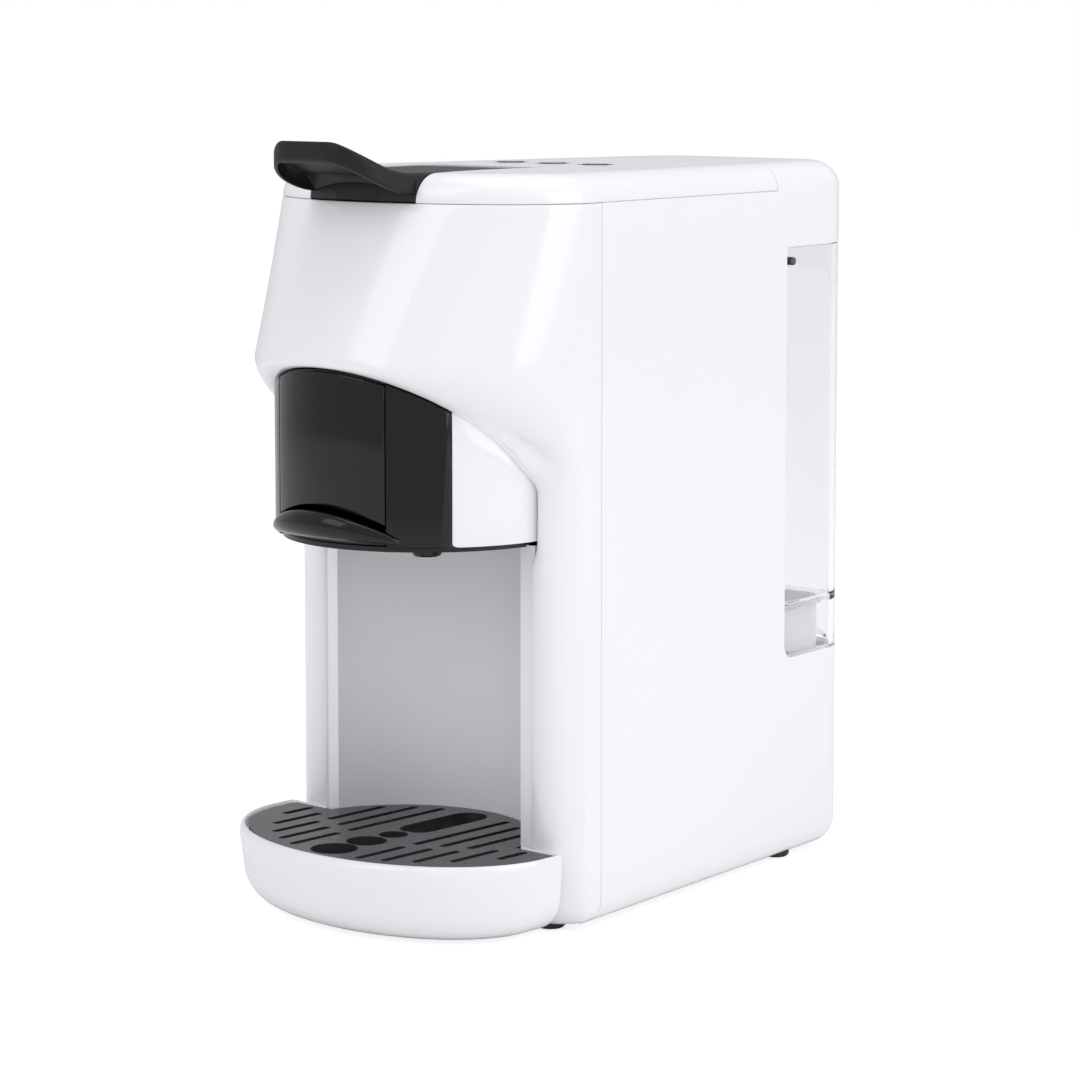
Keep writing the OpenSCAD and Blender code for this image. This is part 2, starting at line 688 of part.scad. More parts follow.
module button(i) {
  color("#1b1b1e") placed() translate([(i - 1) * button_pitch, button_shift, 0]) rotate_extrude()
    polygon([[0, board_z + 5], [2.4, board_z + 5], [2.4, under_z - 3], [ring_d / 2 + 1, under_z - 3],
      [ring_d / 2 + 1, under_z - 1.6], [button_d / 2, under_z - 1.6], [button_d / 2, crest_z - 0.1],
      [button_d / 2 - 0.5, crest_z + 0.3], [0, crest_z + 0.3]]);
}

module button_rings() {
  color("#45464b") placed() for (i = [-1:1])
    translate([i * button_pitch, button_shift, 0]) rotate_extrude()
      polygon([[button_d / 2 + 0.2, under_z - 1.4], [ring_d / 2 + 2, under_z - 1.4],
        [ring_d / 2 + 2, under_z - 0.5], [ring_d / 2, under_z - 0.5], [ring_d / 2, crest_z],
        [button_d / 2 + 0.2, crest_z]]);
}

module control_board() {
  color("#1f6b3a") placed() {
    block([-button_pitch - 12.4, button_shift - 12, board_z],
      [button_pitch + 12.4, button_shift + 12, board_z + board_t]);
    for (i = [-1:1]) translate([i * button_pitch, button_shift, board_z + board_t]) {
      translate([-3, -3, 0]) cube([6, 6, 1.4]);
      cylinder(r = 1.6, h = 2.1);
    }
  }
}

module chassis() {
  y = chassis_y;
  color("#b9bac0") placed() {
    difference() {
      union() {
        block([-chassis_half, y, base_z + floor_t], [chassis_half, y + chassis_t, board_z - 4]);
        // foot flange and shelf under the board
        block([-chassis_half, y, base_z + floor_t], [chassis_half, y + 14, base_z + floor_t + 4]);
        block([-button_pitch - 16.4, y, board_z - 6],
          [button_pitch + 16.4, button_shift + 14, board_z - 4]);
        for (s = [-1, 1], p = [button_shift - 9, button_shift + 9])
          translate([s * (button_pitch + 8.4), p, board_z - 4.5]) cylinder(r = 2.5, h = 4.5);
        for (s = [-1, 1]) translate([s * (chassis_half - 1.5) - 1.5, y + chassis_t - lap, base_z + floor_t]) rotate([90, 0, 90])
          linear_extrude(3) polygon([[0, 0], [11, 0], [11, 8], [0, 60]]);
      }
      for (x = screw_x) translate([x, y + screw_row, base_z]) cylinder(d = screw_d, h = 3 * floor_t);
    }
  }
}

module boiler() {
  y = chassis_y + chassis_t + fin_out;
  color("#a9abb0") placed() difference() {
    union() {
      block([-boiler_w / 2, y, boiler_z], [boiler_w / 2, y + boiler_d, boiler_z + boiler_h]);
      for (z = [8:3 * rib_t:boiler_h - 8])
        block([-boiler_w / 2 - fin_out, y + 5, boiler_z + z],
          [boiler_w / 2 + fin_out, y + boiler_d - 5, boiler_z + z + rib_t]);
      for (s = [-1, 1]) translate([s * boiler_w / 4, y + boiler_d / 2, boiler_z + boiler_h])
        cylinder(r = fin_out, h = 7);
    }
    translate([0, pump_y - 6, boiler_z - lap]) cylinder(r = hose_r + 0.8, h = 14);
  }
}

module boiler_bracket() {
  y = chassis_y + chassis_t;
  color("#d0d2d6") placed() for (z = [boiler_z + 2, boiler_z + boiler_h - 2 - 2 * rib_t])
    block([6 - boiler_w / 2, y, z], [boiler_w / 2 - 6, y + fin_out, z + 2 * rib_t]);
}

module pump() {
  color("#c8b27a") placed() translate([0, pump_y, pump_z]) rotate([-90, 0, 0]) {
    cylinder(r = hose_r + 1.2, h = 8);
    translate([0, 0, 8]) cylinder(r = pump_neck, h = 10);
    translate([-pump_w / 2, -pump_w / 2, 18]) cube([pump_w, pump_w, pump_len - 30]);
    translate([0, 0, pump_len - 12]) cylinder(r = pump_tail, h = 6);
    translate([0, 0, pump_len - 6]) cylinder(r = hose_r + 1.2, h = 6);
  }
}

module pump_mounts() {
  color("#2a2a2e") placed() difference() {
    for (y = [pump_y + 11, pump_y + pump_len - 10.5])
      block([2 - pump_w / 2, y, base_z + floor_t], [pump_w / 2 - 2, y + 4, pump_z + 4]);
    translate([0, pump_y, pump_z]) rotate([-90, 0, 0]) {
      cylinder(r = pump_neck + fit, h = pump_len / 2);
      cylinder(r = pump_tail + fit, h = pump_len);
    }
  }
}

module flow_meter() {
  color("#e8e8ea") placed() translate([meter_x, chassis_y + chassis_t, meter_z]) rotate([-90, 0, 0]) {
    cylinder(r = meter_r, h = meter_t);
    translate([0, 0, meter_t]) cylinder(r = meter_r - 4, h = 5);
    translate([-meter_r - 7, -hose_r, 2]) cube([2 * meter_r + 14, 2 * hose_r, 2 * hose_r]);
  }
}

module power_board() {
  x = 2 - chassis_half - 4;
  y = chassis_y + 21;
  z = base_z + floor_t;
  color("#1f6b3a") placed() {
    block([x, y, z + psu_lift], [x + psu_w, y + psu_d, z + psu_lift + board_t]);
    for (u = [x + 4, x + psu_w - 4], v = [y + 4, y + psu_d - 4]) translate([u, v, z])
      cylinder(r = 2.5, h = psu_lift);
    block([x + 4, y + 10, z + psu_lift + board_t], [x + psu_w - 8, y + 28, z + 4 * psu_lift + 1]);
    translate([x + 14, y + psu_d - 14, z + psu_lift + board_t]) cylinder(r = 6, h = 3 * psu_lift);
  }
}

module tank() {
  front = tank_front + 0.8;
  low = bay_z + 1;
  high = bay_top - 0.7;
  floor_z = bay_z + tank_floor_h;
  color([0.86, 0.9, 0.94, 0.35]) placed() difference() {
    intersection() {
      translate([0, 0, low]) linear_extrude(high - low) polygon(rear_plan(0.2, 0.2));
      // side view with its rounded lower corners
      translate([-body_w, 0, 0]) rotate([90, 0, 90]) linear_extrude(2 * body_w) polygon(concat(
        arc(front + 5, low + 5, 5, 180, 270, 6), arc(rear_depth - 4, low + 4, 4, 270, 360, 5),
        [[rear_depth + 1, high], [front, high]]));
    }
    // water space
    intersection() {
      translate([0, 0, floor_z + tank_t]) linear_extrude(bay_h) polygon(rear_plan(tank_t, tank_t));
      block([-body_w, front + tank_t, 0], [body_w, body_w * 2, crest_z]);
    }
    // open skirt below the tank's floor
    translate([0, 0, bay_z]) linear_extrude(tank_floor_h) polygon(rear_plan(tank_t, tank_t));
    translate([0, front - lap, port_z]) rotate([-90, 0, 0]) cylinder(r = port_r + gap, h = 5);
    for (s = [-1, 1]) catch_pin(s, 1.65);
  }
}

module tank_valve() {
  color("#dfe3e8") placed() translate([0, tank_front + 0.8 + tank_t, port_z]) rotate([-90, 0, 0])
    rotate_extrude() polygon([[port_r + gap, 0], [9, 0], [9, 14], [0, 14], [0, 11], [port_r + gap, 11]]);
}

// Small round catch through a side wall of the tank
module catch_pin(s, r) {
  y = tank_front + 4.5;
  x = seam_w / 2 - taper * y;
  translate([s * (x - 3.2), y, bay_top - 6]) rotate([0, s * 90, 0]) cylinder(r = r, h = 3.3);
}

module tank_catches() {
  color("#6d6e78") placed() for (s = [-1, 1]) catch_pin(s, 1.6);
}

module tank_port() {
  color("#e4e4e8") placed() translate([0, tank_front - wall - 8, port_z]) rotate([-90, 0, 0])
    difference() {
      union() {
        cylinder(r = 4, h = 6);
        translate([0, 0, 6]) cylinder(r = 10, h = 2);
        cylinder(r = port_r, h = 8 + wall + 8.5);
      }
      translate([0, 0, -lap]) cylinder(r = 2.5, h = 30);
    }
}

module tank_plinth() {
  cy = rear_depth - plinth_back - plinth_r;
  cx = seam_w / 2 - taper * cy - plinth_side - plinth_r;
  color("white") placed() translate([0, 0, bay_z]) linear_extrude(tank_floor_h - 3)
    polygon(concat([[cx + plinth_r - 2, tank_front + 3]], arc(cx, cy, plinth_r, 0, 90, 6),
      arc(-cx, cy, plinth_r, 90, 180, 6), [[2 - cx - plinth_r, tank_front + 3]]));
}

// Plan of the tray's front bowl, drawn in by i
function tray_plan(i, back) = let (a = tray_a - i, b = tray_b - i)
  concat([for (j = [0:40]) let (t = -90 + 180 * j / 40)
    [a * sin(t), -tray_shift - b * cos(t)]], [[a, -leg_reach - back], [-a, -leg_reach - back]]);

module drip_tray() {
  draft = 2.2;
  low = tray_round * 0.05;
  bowl = concat(
    [for (t = [0:15:90]) lifted(tray_plan(draft + tray_round * (1 - sin(t)), gap),
      low + tray_round * (1 - cos(t)))],
    [for (t = [0:30:90]) lifted(tray_plan(2.6 * (1 - cos(t)), gap), tray_z - 3 + 3 * sin(t))]);
  grid_z = tray_z - 0.7 - grid_t;
  color("white") placed() difference() {
    union() {
      loft(bowl);
      difference() {
        niche_round(niche_r - 0.5, base_z + floor_t + gap, grid_z - 0.1);
        block([-body_w, -body_w, 0], [body_w, -leg_reach - gap, seam_z]);
      }
    }
    // basin
    translate([0, 0, base_z]) linear_extrude(tray_z) polygon(tray_plan(6, 5));
    difference() {
      niche_round(niche_r - 0.5 - tray_t, base_z + floor_t + gap + tray_t, tray_z);
      block([-body_w, -body_w, 0], [body_w, -tray_shift, seam_z]);
    }
    // seat of the grid
    translate([0, 0, grid_z - 0.1]) linear_extrude(tray_z) polygon(tray_plan(3.2, -1));
  }
}

// Slot with round ends from y0 to y1 at x
module slot(x, y0, y1, w) {
  translate([x, y0]) circle(d = w);
  translate([x, y1]) circle(d = w);
  translate([x - w / 2, y0]) square([w, y1 - y0]);
}

// Collars under the grid's holes
collar_h = 2.6;
collar_t = 1.4;

module grid_holes() {
  front = -tray_shift - tray_b + 3.4;
  slot(0, -leg_reach - 1.5, -leg_reach + 24.5, drain_w);
  translate([0, front + 12]) circle(d = 17.3);
  translate([0, front + 28.5]) circle(d = 15);
  translate([0, front + 42.5]) circle(d = 10.8);
}

module drip_grid() {
  first = drain_w / 2 + slot_pitch;
  a = tray_a - 3.4;
  b = tray_b - 3.4;
  function front_end(x) = -tray_shift - b * sqrt(1 - x * x / a / a) + 6 + 14 * pow(x / 56, 3);
  function back_end(x) = x < niche_r - 10
    ? -niche_shift + sqrt(niche_r * niche_r - x * x) - 6.5 : -leg_reach - 10 + (x - 45) / 2;
  function rib(x) = -leg_reach - 24 + 0.43 * (x - first);
  color("#55555a") placed() translate([0, 0, tray_z - 0.7 - grid_t]) linear_extrude(grid_t)
    difference() {
      union() {
        polygon(tray_plan(3.5, 2 * gap));
        difference() {
          translate([0, -niche_shift]) circle(r = niche_r - 0.4, $fn = 128);
          translate([-body_w / 2, -body_w]) square([body_w, body_w - leg_reach - 1]);
        }
      }
      for (s = [-1, 1], i = [0:4]) let (x = first + i * slot_pitch) {
        if (i < 3) {
          slot(s * x, front_end(x), rib(x) - 4, slot_w);
          slot(s * x, rib(x) + 4, back_end(x), slot_w);
        } else slot(s * x, front_end(x), back_end(x), slot_w);
      }
      grid_holes();
    }
  // collars under the four holes, open where the tray's walls pass
  color("#55555a") placed() translate([0, 0, tray_z - 0.7 - grid_t - collar_h])
    linear_extrude(collar_h + lap / 2) difference() {
      offset(collar_t) grid_holes();
      grid_holes();
      translate([-drain_w, -leg_reach - 4.5]) square([2 * drain_w, 5.5]);
      translate([-drain_w, -body_w]) square([2 * drain_w, body_w - tray_shift - tray_b + 6.2]);
    }
}

module power_gland() {
  color("#222225") placed() translate([gland_x, rear_depth - wall - 3, gland_z]) rotate([-90, 0, 0])
    difference() {
      union() {
        cylinder(r = gland_r + 2.8, h = 3 - gap);
        cylinder(r = gland_r, h = wall + 2.6);
      }
      translate([0, 0, -lap]) cylinder(r = gland_r - 1.8, h = 4 * wall);
    }
}

// Quarter bend of a round tube in the YZ plane
module bend(r, y, z, from) {
  translate([0, y, z]) rotate([90, 0, 90]) rotate(from) rotate_extrude(angle = 90)
    translate([r, 0]) circle(r = hose_r);
}

module supply_hose() {
  y = tank_front - wall - 8;
  color("#e6e6ea") placed() {
    bend(8, y, port_z - 8, 90);
    translate([0, y - 8, pump_z + 8]) cylinder(r = hose_r, h = port_z - pump_z - 16);
    bend(y - 8 - pump_y - pump_len, pump_y + pump_len, pump_z + y - 8 - pump_y - pump_len, 270);
  }
}

module pressure_hose() {
  color("#d8d8dc") placed() {
    bend(6, pump_y, pump_z + 6, 180);
    translate([0, pump_y - 6, pump_z + 6]) cylinder(r = hose_r, h = boiler_z - pump_z + 4);
  }
}

module base_screws() {
  color("silver") placed() for (x = screw_x) translate([x, chassis_y + screw_row, 0]) {
      translate([0, 0, base_z - 1.4]) cylinder(r = 2.8, h = 1.4);
      translate([0, 0, base_z]) cylinder(r = screw_d / 2 - fit, h = 9);
    }
}

base_plate();
foot(0);  // foot_front_left
foot(1);  // foot_front_right
foot(2);  // foot_rear_left
foot(3);  // foot_rear_right
front_shell();
rear_shell();
niche_panel();
top_cover();
head_skirt();
head_bezel();
spout_plate();
spout_nozzle();
pod_drawer();
pod_cup();
lever();
lever_pin();
lever_clips();
brew_frame();
brew_piston();
piston_seal();
needle_plate();
button(0);  // button_left
button(1);  // button_middle
button(2);  // button_right
button_rings();
control_board();
chassis();
boiler();
boiler_bracket();
pump();
pump_mounts();
flow_meter();
power_board();
tank();
tank_valve();
tank_catches();
tank_port();
tank_plinth();
drip_tray();
drip_grid();
power_gland();
supply_hose();
pressure_hose();
base_screws();
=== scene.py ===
"""Pod coffee machine: smooth mouldings, finishes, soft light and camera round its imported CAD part.

Lengths in the classes are millimetres in the seam frame (x to the right, y back from the side
seam, z up); placed() turns them into metres in the part's own frame.
"""

import logging
import math
from dataclasses import dataclass, field
from enum import Enum
from typing import Callable

import bmesh
import bpy
import numpy as np
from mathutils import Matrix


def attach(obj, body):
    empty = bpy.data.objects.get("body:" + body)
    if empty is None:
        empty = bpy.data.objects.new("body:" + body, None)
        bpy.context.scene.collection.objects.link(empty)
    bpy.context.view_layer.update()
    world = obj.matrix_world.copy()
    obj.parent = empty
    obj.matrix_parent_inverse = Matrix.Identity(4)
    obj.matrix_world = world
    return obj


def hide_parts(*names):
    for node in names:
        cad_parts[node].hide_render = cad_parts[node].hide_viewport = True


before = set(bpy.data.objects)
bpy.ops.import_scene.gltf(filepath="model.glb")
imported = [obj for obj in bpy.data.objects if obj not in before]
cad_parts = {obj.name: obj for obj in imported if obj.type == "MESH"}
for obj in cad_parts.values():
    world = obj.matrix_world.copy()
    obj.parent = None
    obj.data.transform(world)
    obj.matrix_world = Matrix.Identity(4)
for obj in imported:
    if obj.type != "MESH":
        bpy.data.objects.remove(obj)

LOG = logging.getLogger("pod_machine")
SEAM_Y = -46.8
Array = np.ndarray


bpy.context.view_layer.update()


# ----------------------------------------------------------------------------- finishes


class Finish(Enum):
    """The finishes of the machine; each value names the material and the slot."""

    GLOSS_WHITE = "gloss_white"
    SOFT_GREY = "soft_grey"
    CHARCOAL = "charcoal"
    GLOSS_BLACK = "gloss_black"
    GRID_GREY = "grid_grey"
    FOOT_RUBBER = "foot_rubber"
    SEAL_RUBBER = "seal_rubber"
    HOSE_RUBBER = "hose_rubber"
    CLEAR_TANK = "clear_tank"
    CLEAR_WHITE = "clear_white"
    STEEL = "steel"
    ALUMINIUM = "aluminium"
    FRAME_GREY = "frame_grey"
    CHASSIS_GREY = "chassis_grey"
    BOARD_GREEN = "board_green"
    PUMP_TAN = "pump_tan"


@dataclass(frozen=True)
class Plastic:
    """Moulded plastic or rubber: two close tones, a roughness range and a fine surface texture.

    A clear one names its index of refraction in clear.
    """

    tone: tuple
    deep: tuple
    rough: tuple
    grain: float = 900.0
    depth: float = 0.02
    drift: float = 14.0
    coat: float = 0.0
    specular: float = 0.5
    clear: float = 0.0


@dataclass(frozen=True)
class Metal:
    """Drawn or cast metal: two close tones, a roughness range and fine lines along one axis."""

    tone: tuple
    deep: tuple
    rough: tuple
    stretch: tuple = (900.0, 900.0, 30.0)
    depth: float = 0.02


PLASTICS = {
    Finish.GLOSS_WHITE: Plastic((0.90, 0.90, 0.912), (0.872, 0.873, 0.888), (0.10, 0.19), 520, 0.006, 9,
                                coat=0.35),
    Finish.SOFT_GREY: Plastic((0.88, 0.875, 0.90), (0.87, 0.865, 0.89), (0.28, 0.30), 1400, 0.008, 12),
    Finish.CHARCOAL: Plastic((0.0125, 0.0112, 0.0112), (0.0085, 0.0076, 0.0076), (0.42, 0.52), 2600, 0.10,
                             40, specular=0.30),
    Finish.GLOSS_BLACK: Plastic((0.0055, 0.0053, 0.006), (0.0035, 0.0034, 0.004), (0.08, 0.13), 700, 0.006,
                                16, specular=0.40),
    Finish.GRID_GREY: Plastic((0.030, 0.030, 0.033), (0.026, 0.026, 0.029), (0.26, 0.31), 2400, 0.02, 30),
    Finish.FOOT_RUBBER: Plastic((0.030, 0.030, 0.032), (0.020, 0.020, 0.022), (0.65, 0.85), 1800, 0.15, 60),
    Finish.SEAL_RUBBER: Plastic((0.27, 0.045, 0.035), (0.22, 0.032, 0.026), (0.50, 0.65), 1600, 0.08, 60),
    Finish.HOSE_RUBBER: Plastic((0.62, 0.62, 0.63), (0.54, 0.54, 0.56), (0.35, 0.50), 1500, 0.05, 50),
    Finish.CLEAR_WHITE: Plastic((0.74, 0.75, 0.77), (0.68, 0.69, 0.72), (0.28, 0.40), 1200, 0.03, 40),
    Finish.FRAME_GREY: Plastic((0.10, 0.10, 0.11), (0.08, 0.08, 0.09), (0.42, 0.58), 1500, 0.08, 30),
    Finish.CHASSIS_GREY: Plastic((0.46, 0.47, 0.50), (0.41, 0.42, 0.45), (0.40, 0.55), 1400, 0.05, 25),
    Finish.BOARD_GREEN: Plastic((0.018, 0.13, 0.045), (0.012, 0.10, 0.034), (0.30, 0.45), 1100, 0.03, 90),
    Finish.PUMP_TAN: Plastic((0.56, 0.44, 0.19), (0.49, 0.38, 0.16), (0.38, 0.52), 1300, 0.05, 50),
    Finish.CLEAR_TANK: Plastic((0.895, 0.89, 0.915), (0.875, 0.87, 0.90), (0.015, 0.05), 160, 0.006, 20,
                               clear=1.22),
}
METALS = {
    Finish.STEEL: Metal((0.60, 0.60, 0.61), (0.52, 0.52, 0.53), (0.20, 0.34)),
    Finish.ALUMINIUM: Metal((0.66, 0.67, 0.69), (0.56, 0.57, 0.59), (0.34, 0.50), (500.0, 500.0, 500.0),
                            0.06),
}
BUMP_HEIGHT = 0.001
COAT_ROUGHNESS = 0.05


class Graph:
    """A shader node tree that is written node by node."""

    def __init__(self, tree: bpy.types.NodeTree) -> None:
        """Takes the tree.

        Args:
            tree: Where the nodes go.
        """
        self.nodes, self.links = tree.nodes, tree.links

    def add(self, kind: str, feeds: dict, **settings) -> bpy.types.Node:
        """Adds a node.

        Args:
            kind: Its type, without the prefix ShaderNode.
            feeds: What goes into its sockets, by name or number: another socket or a plain value.
            **settings: Properties of the node itself.

        Returns:
            The node.
        """
        node = self.nodes.new("ShaderNode" + kind)
        for key, value in settings.items():
            setattr(node, key, value)
        for key, value in feeds.items():
            if isinstance(value, bpy.types.NodeSocket):
                self.links.new(value, node.inputs[key])
            else:
                node.inputs[key].default_value = value
        return node

    def where(self) -> bpy.types.NodeSocket:
        """Returns the place on the object."""
        return self.add("TexCoord", {}).outputs["Object"]

    def noise(self, **feeds) -> bpy.types.NodeSocket:
        """Adds a noise texture and returns its value."""
        return self.add("TexNoise", feeds).outputs["Fac"]


def shared_group(name: str, extra: list, write: Callable) -> bpy.types.NodeTree:
    """Builds a shared group that mixes two tones, spreads the roughness and hands on a height.

    Args:
        name: The group's name.
        extra: Further inputs: triples of socket name, socket type and default value.
        write: Given the graph and the group's inputs, adds the pattern and returns its values for
            tone, roughness and height, and the roughness value's own range.

    Returns:
        The group, with outputs Colour, Roughness and Height.
    """
    group = bpy.data.node_groups.new(name, "ShaderNodeTree")
    shared = [("Tone", "Color", (0.8, 0.8, 0.8, 1)), ("Deep", "Color", (0.7, 0.7, 0.7, 1)),
              ("Smooth", "Float", 0.2), ("Dull", "Float", 0.4)]
    for label, kind, value in shared + extra:
        socket = group.interface.new_socket(label, in_out="INPUT", socket_type="NodeSocket" + kind)
        socket.default_value = value
    for label, kind in (("Colour", "Color"), ("Roughness", "Float"), ("Height", "Float")):
        group.interface.new_socket(label, in_out="OUTPUT", socket_type="NodeSocket" + kind)
    graph = Graph(group)
    given = group.nodes.new("NodeGroupInput").outputs
    out = group.nodes.new("NodeGroupOutput").inputs
    tone, rough, height, (low, high) = write(graph, given)
    tint = graph.add("Mix", {"Factor": tone, "A": given["Tone"], "B": given["Deep"]}, data_type="RGBA")
    gloss = graph.add("MapRange", {"Value": rough, "From Min": low, "From Max": high,
                                   "To Min": given["Smooth"], "To Max": given["Dull"]})
    graph.links.new(tint.outputs["Result"], out["Colour"])
    graph.links.new(gloss.outputs["Result"], out["Roughness"])
    graph.links.new(height, out["Height"])
    return group


def moulded_pattern(graph: Graph, given) -> tuple:
    """Moulded plastic: slow drift of tone, a faster one of gloss, and a fine texture."""
    where = graph.where()
    faster = graph.add("Math", {0: given["Drift"], 1: 5.0}, operation="MULTIPLY").outputs[0]
    return (graph.noise(Vector=where, Scale=given["Drift"], Detail=3.0),
            graph.noise(Vector=where, Scale=faster, Detail=5.0, Roughness=0.6),
            graph.noise(Vector=where, Scale=given["Grain"], Detail=2.0), (0.3, 0.7))


def drawn_pattern(graph: Graph, given) -> tuple:
    """Drawn or cast metal: fine lines, from noise stretched along one axis."""
    stretch = graph.add("VectorMath", {0: graph.where(), 1: given["Stretch"]}, operation="MULTIPLY")
    lines = graph.noise(Vector=stretch.outputs["Vector"], Scale=1.0, Detail=4.0)
    return lines, lines, lines, (0.0, 1.0)


SHARED_GROUPS = {
    "moulded_skin": ([("Drift", "Float", 12.0), ("Grain", "Float", 900.0)], moulded_pattern),
    "drawn_lines": ([("Stretch", "Vector", (900.0, 900.0, 30.0))], drawn_pattern),
}


@dataclass
class FinishCabinet:
    """Builds each finish once and hands it out."""

    made: dict = field(default_factory=dict)
    groups: dict = field(default_factory=dict)

    def surface(self, name: str, group: str, look, extra: dict) -> tuple:
        """Makes a material whose colour, roughness and bump come from a shared group.

        Args:
            name: The material's name.
            group: Which shared group feeds it.
            look: The Plastic or Metal.
            extra: The group's further input values by socket name.

        Returns:
            The material and the inputs of its Principled shader.
        """
        if group not in self.groups:
            self.groups[group] = shared_group(group, *SHARED_GROUPS[group])
        material = bpy.data.materials.new(name)
        material.use_nodes = True
        graph = Graph(material.node_tree)
        shader = graph.nodes["Principled BSDF"].inputs
        skin = graph.add("Group", {"Tone": (*look.tone, 1), "Deep": (*look.deep, 1),
                                   "Smooth": look.rough[0], "Dull": look.rough[1], **extra},
                         node_tree=self.groups[group])
        bump = graph.add("Bump", {"Strength": look.depth, "Distance": BUMP_HEIGHT,
                                  "Height": skin.outputs["Height"]})
        graph.links.new(bump.outputs["Normal"], shader["Normal"])
        graph.links.new(skin.outputs["Colour"], shader["Base Color"])
        graph.links.new(skin.outputs["Roughness"], shader["Roughness"])
        return material, shader

    def plastic(self, finish: Finish) -> bpy.types.Material:
        """Makes a moulded plastic or rubber.

        Args:
            finish: Which of PLASTICS.

        Returns:
            The material.
        """
        p = PLASTICS[finish]
        material, shader = self.surface(finish.value, "moulded_skin", p,
                                        {"Drift": p.drift, "Grain": p.grain})
        shader["Specular IOR Level"].default_value = p.specular
        if p.coat:
            shader["Coat Weight"].default_value = p.coat
            shader["Coat Roughness"].default_value = COAT_ROUGHNESS
        if p.clear:
            shader["Transmission Weight"].default_value = 1.0
            shader["IOR"].default_value = p.clear
        return material

    def metal(self, finish: Finish) -> bpy.types.Material:
        """Makes a bare metal.

        Args:
            finish: Which of METALS.

        Returns:
            The material.
        """
        m = METALS[finish]
        material, shader = self.surface(finish.value, "drawn_lines", m, {"Stretch": m.stretch})
        shader["Metallic"].default_value = 1.0
        return material

    def get(self, finish: Finish) -> bpy.types.Material:
        """Returns the material of a finish, built on first use."""
        if finish not in self.made:
            self.made[finish] = self.metal(finish) if finish in METALS else self.plastic(finish)
        return self.made[finish]


# ----------------------------------------------------------------------------- mesh tools


MIRROR = np.array([-1, 1, 1])


def placed(points: Array) -> Array:
    """Moves points from the seam frame in millimetres to the part's frame in metres."""
    return (points + np.array([0.0, SEAM_Y, 0.0])) / 1000.0


def rows(*parts: Array) -> Array:
    """Stacks lines of points, each [n, 3], into one grid [lines, n, 3]."""
    return np.stack(parts, 0)


def curve(x, y, z) -> Array:
    """Broadcasts three coordinate arrays and joins them along a last axis."""
    return np.stack(np.broadcast_arrays(*(np.asarray(v, float) for v in (x, y, z))), -1)


def both_halves(right: Array, flip=1) -> Array:
    """Runs the right half of an outline on into its mirror image, whose values are times flip."""
    return np.concatenate([right, flip * right[-2::-1]])


def soft_max(a: Array, b: Array, blend: float) -> Array:
    """Larger of two values, with a soft change over from one to the other.

    Where they differ by less than blend, h = blend - |a - b| and h squared / (4 blend) is added.
    """
    h = np.maximum(blend - np.abs(a - b), 0)
    return np.maximum(a, b) + h * h / blend / 4


def fallen(r: float, reach: float) -> float:
    """How far a quarter circle of radius r has fallen away, at that distance from its end."""
    into = max(0.0, r - reach)
    return r - math.sqrt(max(0.0, r * r - into * into))


def ease(t: Array) -> Array:
    """Smooth step from 0 to 1: 3 t squared - 2 t cubed."""
    t = np.clip(t, 0, 1)
    return t * t * (3 - 2 * t)


def islands(bm) -> list:
    """Splits a mesh into its connected groups of faces."""
    left, groups = set(bm.faces), []
    while left:
        group, edge = [], [left.pop()]
        while edge:
            face = edge.pop()
            group.append(face)
            near = {f for e in face.edges for f in e.link_faces if f in left}
            left -= near
            edge.extend(near)
        groups.append(group)
    return groups


def turn_out(bm, group: list, heart: Array) -> None:
    """Turns an island's faces outwards: a closed one by its volume, an open one away from heart.

    Args:
        bm: The mesh.
        group: The island's faces.
        heart: A point that an open island's faces look away from.
    """
    closed = all(len(e.link_faces) == 2 for f in group for e in f.edges)
    origin = np.zeros(3) if closed else heart
    facing = sum(f.calc_area() * float(np.dot(f.normal, np.array(f.calc_center_median()) - origin))
                 for f in group)
    if facing < 0:
        bmesh.ops.reverse_faces(bm, faces=group)


